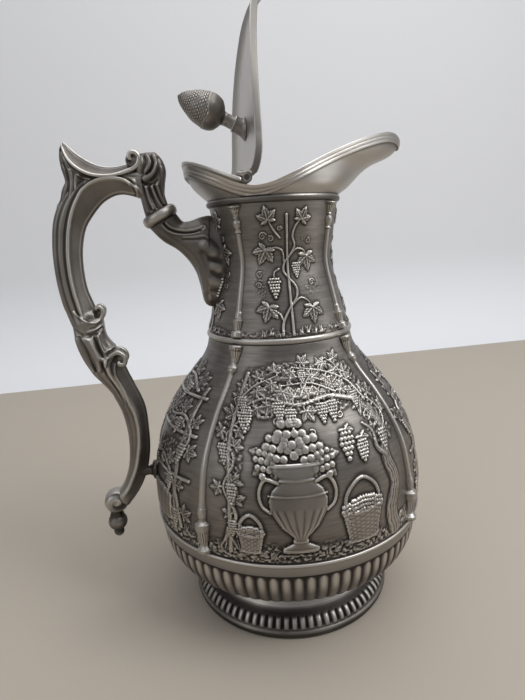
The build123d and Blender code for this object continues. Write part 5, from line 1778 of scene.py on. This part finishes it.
def makeLedge(size):
    # boat-shaped rest: crest, hollow flank y = c + (h - c) s^1.7, a bead at full width, then an undercut
    crest, bead, foot = (smoothLine(size[key], size["rows"]) for key in ("crest", "bead", "foot"))
    share = np.linspace(0, 1, size["rows"])
    half = size["tipHalf"] + (size["half"] - size["tipHalf"]) * ease(share, 0.0, 0.3)
    top = size["crestHalf"] * (0.7 + 0.3 * ease(share, 0, 0.2))
    drop = (bead - crest) / np.linalg.norm(bead - crest, axis=1, keepdims=True)
    under = (foot - bead) / np.linalg.norm(foot - bead, axis=1, keepdims=True)
    lines = [(crest, 0 * half, 0.7)]  # each a line along the rest, its distance from the middle plane, and its tone: painted highlight on the crest and bead, painted shade in the hollow and the undercut
    for lift, out, shade in ((0.0, 0.7, 0.75), (0.1, 0.95, 0.9), (0.45, 1.0, 0.8), (0.8, 0.92, 0.62)):
        lines.append((crest + drop * lift, top * out, shade))
    for s in np.linspace(0.26, 0.8, 11):
        out = top * 0.9 + (half - 0.4 - top * 0.9) * s**1.7
        lines.append((crest + (bead - crest) * s, out, 0.46 - 0.1 * math.sin(math.pi * s)))
    for turn in np.linspace(-70, 130, 10):
        a = math.radians(turn)
        lines.append((bead + drop * 0.62 * math.sin(a), half - 0.22 + 0.62 * math.cos(a), 0.86 - 0.3 * (turn > 60)))
    for s, inset, shade in ((0.3, 0.75, 0.3), (0.6, 0.85, 0.26), (1.0, 0.9, 0.22)):
        lines.append((bead + drop * 0.3 + (foot - bead - drop * 0.3) * s, half * inset, shade))
    lines.append((foot + under * 0.3, 0 * half, 0.22))
    flat, y, shade = (np.array(column) for column in zip(*lines))
    side = np.stack([flat[..., 0] + handleAt[0], y, flat[..., 1] + handleAt[1]], -1).transpose(1, 0, 2)
    points = np.concatenate([side, side[:, -2:0:-1] * overY], 1)
    shade = np.concatenate([shade, shade[-2:0:-1]])[None, :] * np.ones((len(points), 1))
    # three smaller loops round off the tip
    tip = points[0].mean(0)
    ahead = (points[0] - points[2]).mean(0)
    ahead = ahead / np.linalg.norm(ahead)
    caps = [tip + (points[0] - tip) * k + ahead * f for k, f in ((0.35, 0.62), (0.7, 0.48), (0.9, 0.25))]
    points = np.concatenate([np.array(caps), points])
    shade = np.concatenate([np.repeat(shade[:1], 3, 0) * 0.9, shade])
    makePiece("thumbLedge", "handle_ledge", points, tubeFaces(points), shade)


def makeCurl(name):
    # round bead along a curled line on each side of the handle, thicker towards its end
    size = curlSizes[name]
    flat = smoothLine(size["line"], 90)
    run = np.gradient(flat, axis=0)
    run /= np.linalg.norm(run, axis=1, keepdims=True)
    thin, thick = size["radii"]
    radius = np.interp(np.linspace(0, 1, len(flat)), [0, 0.25, 0.95, 1], [thin, thick, thick, 0.35 * thick])
    a = around(20)
    across = radius[:, None] * np.cos(a)
    x = handleAt[0] + flat[:, 0][:, None] - across * run[:, 1][:, None]
    z = handleAt[1] + flat[:, 1][:, None] + across * run[:, 0][:, None]
    y = size["out"] + radius[:, None] * np.sin(a)
    sides = [np.stack([x, side * y, z], -1)[:, ::side] for side in (1, -1)]
    makePiece(name, size["node"], *joined(*((loops, tubeFaces(loops), 0 * x + size["wearAndShade"]) for loops in sides)))


def makeWeb(size):
    # flat-sided corner between ledge, grip and arch: superellipse loops from outer to inner edge
    table = np.array(size["rows"], float)[::-1]
    z = np.linspace(table[0, 0], table[-1, 0], 110)
    outer = smoothTable(z, table[:, 0], table[:, 1])
    inner = smoothTable(z, table[:, 0], table[:, 2])
    half = 50
    v = -np.cos((np.arange(half) + 0.5) / half * np.pi)
    x = (outer + inner)[:, None] / 2 + (inner - outer)[:, None] / 2 * v[None, :]
    zs = z[:, None] * np.ones_like(x)
    y = size["half"] * (1 - np.abs(v) ** 3.4)[None, :] ** (1 / 3.4) * np.ones_like(x)
    height = carved(x, zs, size["lines"])
    side = np.stack([x + handleAt[0], y + height * ease(y, 1.0, 3.0), zs + handleAt[1]], -1)
    points = bothSides(side, overY)
    # raised carving lighter and grooves darker: rubbed high points and patina, with painted highlight and painted
    # shade as well
    shade = np.clip(bothSides(0.42 + 0.5 * (height - blurred(height, 8))), 0.03, 1)
    makePiece("ledgeWeb", "handle_ledge", points, tubeFaces(points), shade, flat=(-2, -1))


terminalSize = {
    # radius and depth under the curl's middle
    "neck": [(0.01, 3.4), (2.9, 3.6), (2.95, 4.6), (2.3, 5.6), (3.0, 6.6)],
    "bead": (4.15, 10.2),
    "drop": (2.25, 15.2),
    "outwards": 0.7,
}


def makeTerminal(size):
    # neck, bead and drop under the curled end
    centre = handleAt + np.array(volutes["tailCurl"][1])
    neck = np.array([(r, centre[1] - under) for r, under in size["neck"]])
    b = np.linspace(np.pi / 2 - 0.75, -np.pi / 2 + 0.45, 22)
    r, under = size["bead"]
    bead = np.stack([r * np.cos(b), centre[1] - under + r * np.sin(b)], -1)
    c = np.linspace(0.6, -np.pi / 2, 14)
    r, under = size["drop"]
    drop = np.stack([r * np.cos(c) + 0.01, centre[1] - under + r * np.sin(c)], -1)
    profile = np.concatenate([neck, bead, drop])
    points = turned(profile, around(72))
    points[..., 0] += centre[0] - size["outwards"]
    # the bead's upper part and the drop's middle painted lighter as highlights, the neck and the bead's underside
    # darker as shade
    wearAndShade = np.interp(np.arange(len(profile)), [0, 4, 12, 26, 28, 34, 40], [0.35, 0.28, 0.5, 0.24, 0.3, 0.5, 0.45])
    faces = gridFaces(len(profile), 72, 0, False, True)
    makePiece("tailBead", "handle_terminal", points, faces, sameAround(wearAndShade, 72))


pegSize = {
    "at": (-43.0, -88.5),
    # radius and distance from the tail's middle
    "tail": [(0.01, 1.0), (2.3, 1.0), (2.1, 3.0)],
    # radius and distance from the belly's wall
    "pad": [(2.0, -3.2), (2.6, -2.0), (3.8, -1.5), (4.2, -0.9), (4.2, 0.7), (0.01, 0.9)],
}


def makePeg(size):
    # short bar from the tail to a pad on the belly
    x, z = handleAt + np.array(size["at"])
    wall = -spanOf("belly_shell")[1][0]
    profile = [(r, x + away) for r, away in size["tail"]] + [(r, wall + away) for r, away in size["pad"]]
    profile = np.array(profile)
    a = around(48)
    r = profile[:, 0][:, None]
    points = np.stack([profile[:, 1][:, None] * np.ones((1, 48)), r * np.cos(a), z + r * np.sin(a)], -1)
    faces = gridFaces(len(profile), 48, 0, False, True)
    makePiece("peg", "handle_peg", points, faces, np.full(points.shape[:2], 0.34))


makeLimb("bracket", "handle_bracket", bracketSize, 130, 80, (2.1, 2.1), plainFlank, offTheNeck)
makeRingKnop(ringSize)
makeLimb("knuckle", "handle_knuckle", knuckleSize, 120, 80, (2.2, 2.2), plainFlank)
makeLimb("grip", "handle_grip", gripSize, 300, 72, (3.0, 2.6), hollowFlank)
makeLimb("leafWrap", "handle_leaf", leafSize, 150, 80, (2.4, 2.8), hollowFlank)
makeLimb("tail", "handle_tail", tailSize, 180, 64, (2.8, 2.8), hollowFlank)
makeLedge(ledgeSize)
makeVolute("ledgeScroll")
makeCurl("ledgeCurl")
makeVolute("cupScroll")
makeVolute("leafScroll")
makeCurl("cupCurl")
makeCurl("leafCurl")
makeWeb(webSize)
makeVolute("tailCurl")
makeTerminal(terminalSize)
makePeg(pegSize)
print("handle made")


# Stage: pale floor and wall, soft light from above and both sides, camera at the photo's angle

stageSize = {
    "floorColour": (0.43, 0.385, 0.325),
    "wallColour": (0.76, 0.77, 0.79),
    # metres
    "front": -1.6,
    "wallBack": 0.5,
    "wallTop": 2.2,
    "halfWidth": 3.0,
    "bend": 0.12,
    "below": 0.0002,
    "skyColour": (0.93, 0.95, 1.0),
    "skyAbove": 0.55,
    "skyBelow": 0.12,
}
lampSizes = {
    # place and aim in metres, width, height, power
    "keyLight": ((0.55, -0.4, 0.8), (0, 0, 0.12), 0.5, 0.5, 4.0),
    "fillLight": ((-0.75, -0.5, 0.5), (0, 0, 0.12), 0.5, 0.7, 1.0),
    "sideLight": ((0.8, -0.3, 0.22), (0, 0, 0.14), 0.25, 0.6, 0.95),
    "topLight": ((0.1, 0.05, 1.0), (0, 0, 0.1), 0.9, 0.9, 4.0),
}
cameraSize = {
    "place": (-44.38, -208.79, 160.28),
    "right": (0.98115, -0.18503, -0.05580),
    "up": (0.09540, 0.21260, 0.97247),
    "back": (-0.16808, -0.95946, 0.22625),
    "lens": 25.377,
}


def plainMaterial(name, colour, roughness):
    # one colour, hardly glossy
    material = bpy.data.materials.new(name)
    material.use_nodes = True
    shader = material.node_tree.nodes["Principled BSDF"]
    shader.inputs["Base Color"].default_value = (*colour, 1)
    shader.inputs["Roughness"].default_value = roughness
    shader.inputs["Specular IOR Level"].default_value = 0.2
    return material


def makeStage(size):
    # one sheet: floor, then a quarter circle up into the wall behind
    bend, wall, wide = size["bend"], size["wallBack"], size["halfWidth"]
    a = np.linspace(0, math.pi / 2, 9)
    y = np.concatenate([[size["front"]], wall - bend + bend * np.sin(a), [wall]])
    z = np.concatenate([[0], bend * (1 - np.cos(a)), [size["wallTop"]]]) - size["below"]
    points = np.stack([np.stack([0 * y + x, y, z], -1) for x in (-wide, wide)], 1)
    faces = gridFaces(len(y), 2)
    mesh = bpy.data.meshes.new("floorSheet")
    mesh.from_pydata(points.reshape(-1, 3).tolist(), [], faces)
    mesh.polygons.foreach_set("use_smooth", np.ones(len(faces), bool))
    mesh.materials.append(plainMaterial("floorPaint", size["floorColour"], 0.75))
    mesh.materials.append(plainMaterial("wallPaint", size["wallColour"], 0.9))
    for face in mesh.polygons[1:]:
        face.material_index = 1
    sheet = bpy.data.objects.new("floorSheet", mesh)
    bpy.context.scene.collection.objects.link(sheet)
    return sheet


def makeLamp(name, size):
    # rectangular lamp that faces its aim
    place, aim, width, height, power = size
    light = bpy.data.lights.new(name, "AREA")
    light.shape = "RECTANGLE"
    light.size, light.size_y = width, height
    light.energy = power
    lamp = bpy.data.objects.new(name, light)
    lamp.location = place
    lamp.rotation_euler = (Vector(aim) - Vector(place)).to_track_quat("-Z", "Y").to_euler()
    bpy.context.scene.collection.objects.link(lamp)
    return lamp


def makeSky(size):
    # brighter overhead than low down, as in a room
    world = bpy.data.worlds.new("softRoom")
    world.use_nodes = True
    tree = world.node_tree
    height = addNode(tree, "SeparateXYZ", {0: addNode(tree, "TexCoord").outputs["Generated"]}).outputs["Z"]
    reach = {"From Min": -0.2, "From Max": 0.9, "To Min": size["skyBelow"], "To Max": size["skyAbove"]}
    rise = addNode(tree, "MapRange", {"Value": height, **reach}).outputs["Result"]
    sky = tree.nodes["Background"]
    sky.inputs["Color"].default_value = (*size["skyColour"], 1)
    tree.links.new(rise, sky.inputs["Strength"])
    bpy.context.scene.world = world


def makeCamera(size):
    # camera whose axes are given as rows, at a place in millimetres
    camera = bpy.data.cameras.new("photoCamera")
    camera.sensor_fit = "VERTICAL"
    camera.sensor_height = 36
    camera.lens = size["lens"]
    camera.clip_start, camera.clip_end = 0.01, 20
    holder = bpy.data.objects.new("photoCamera", camera)
    right, up, back = (Vector(size[k]) for k in ("right", "up", "back"))
    turn = Matrix((right, up, back)).transposed().to_4x4()
    turn.translation = Vector(size["place"]) * mm
    holder.matrix_world = turn
    bpy.context.scene.collection.objects.link(holder)
    bpy.context.scene.camera = holder


sheet = makeStage(stageSize)
lamps = [makeLamp(name, size) for name, size in lampSizes.items()]
makeSky(stageSize)
makeCamera(cameraSize)
bpy.context.scene.view_settings.view_transform = "Standard"
print("stage, lights and camera made")
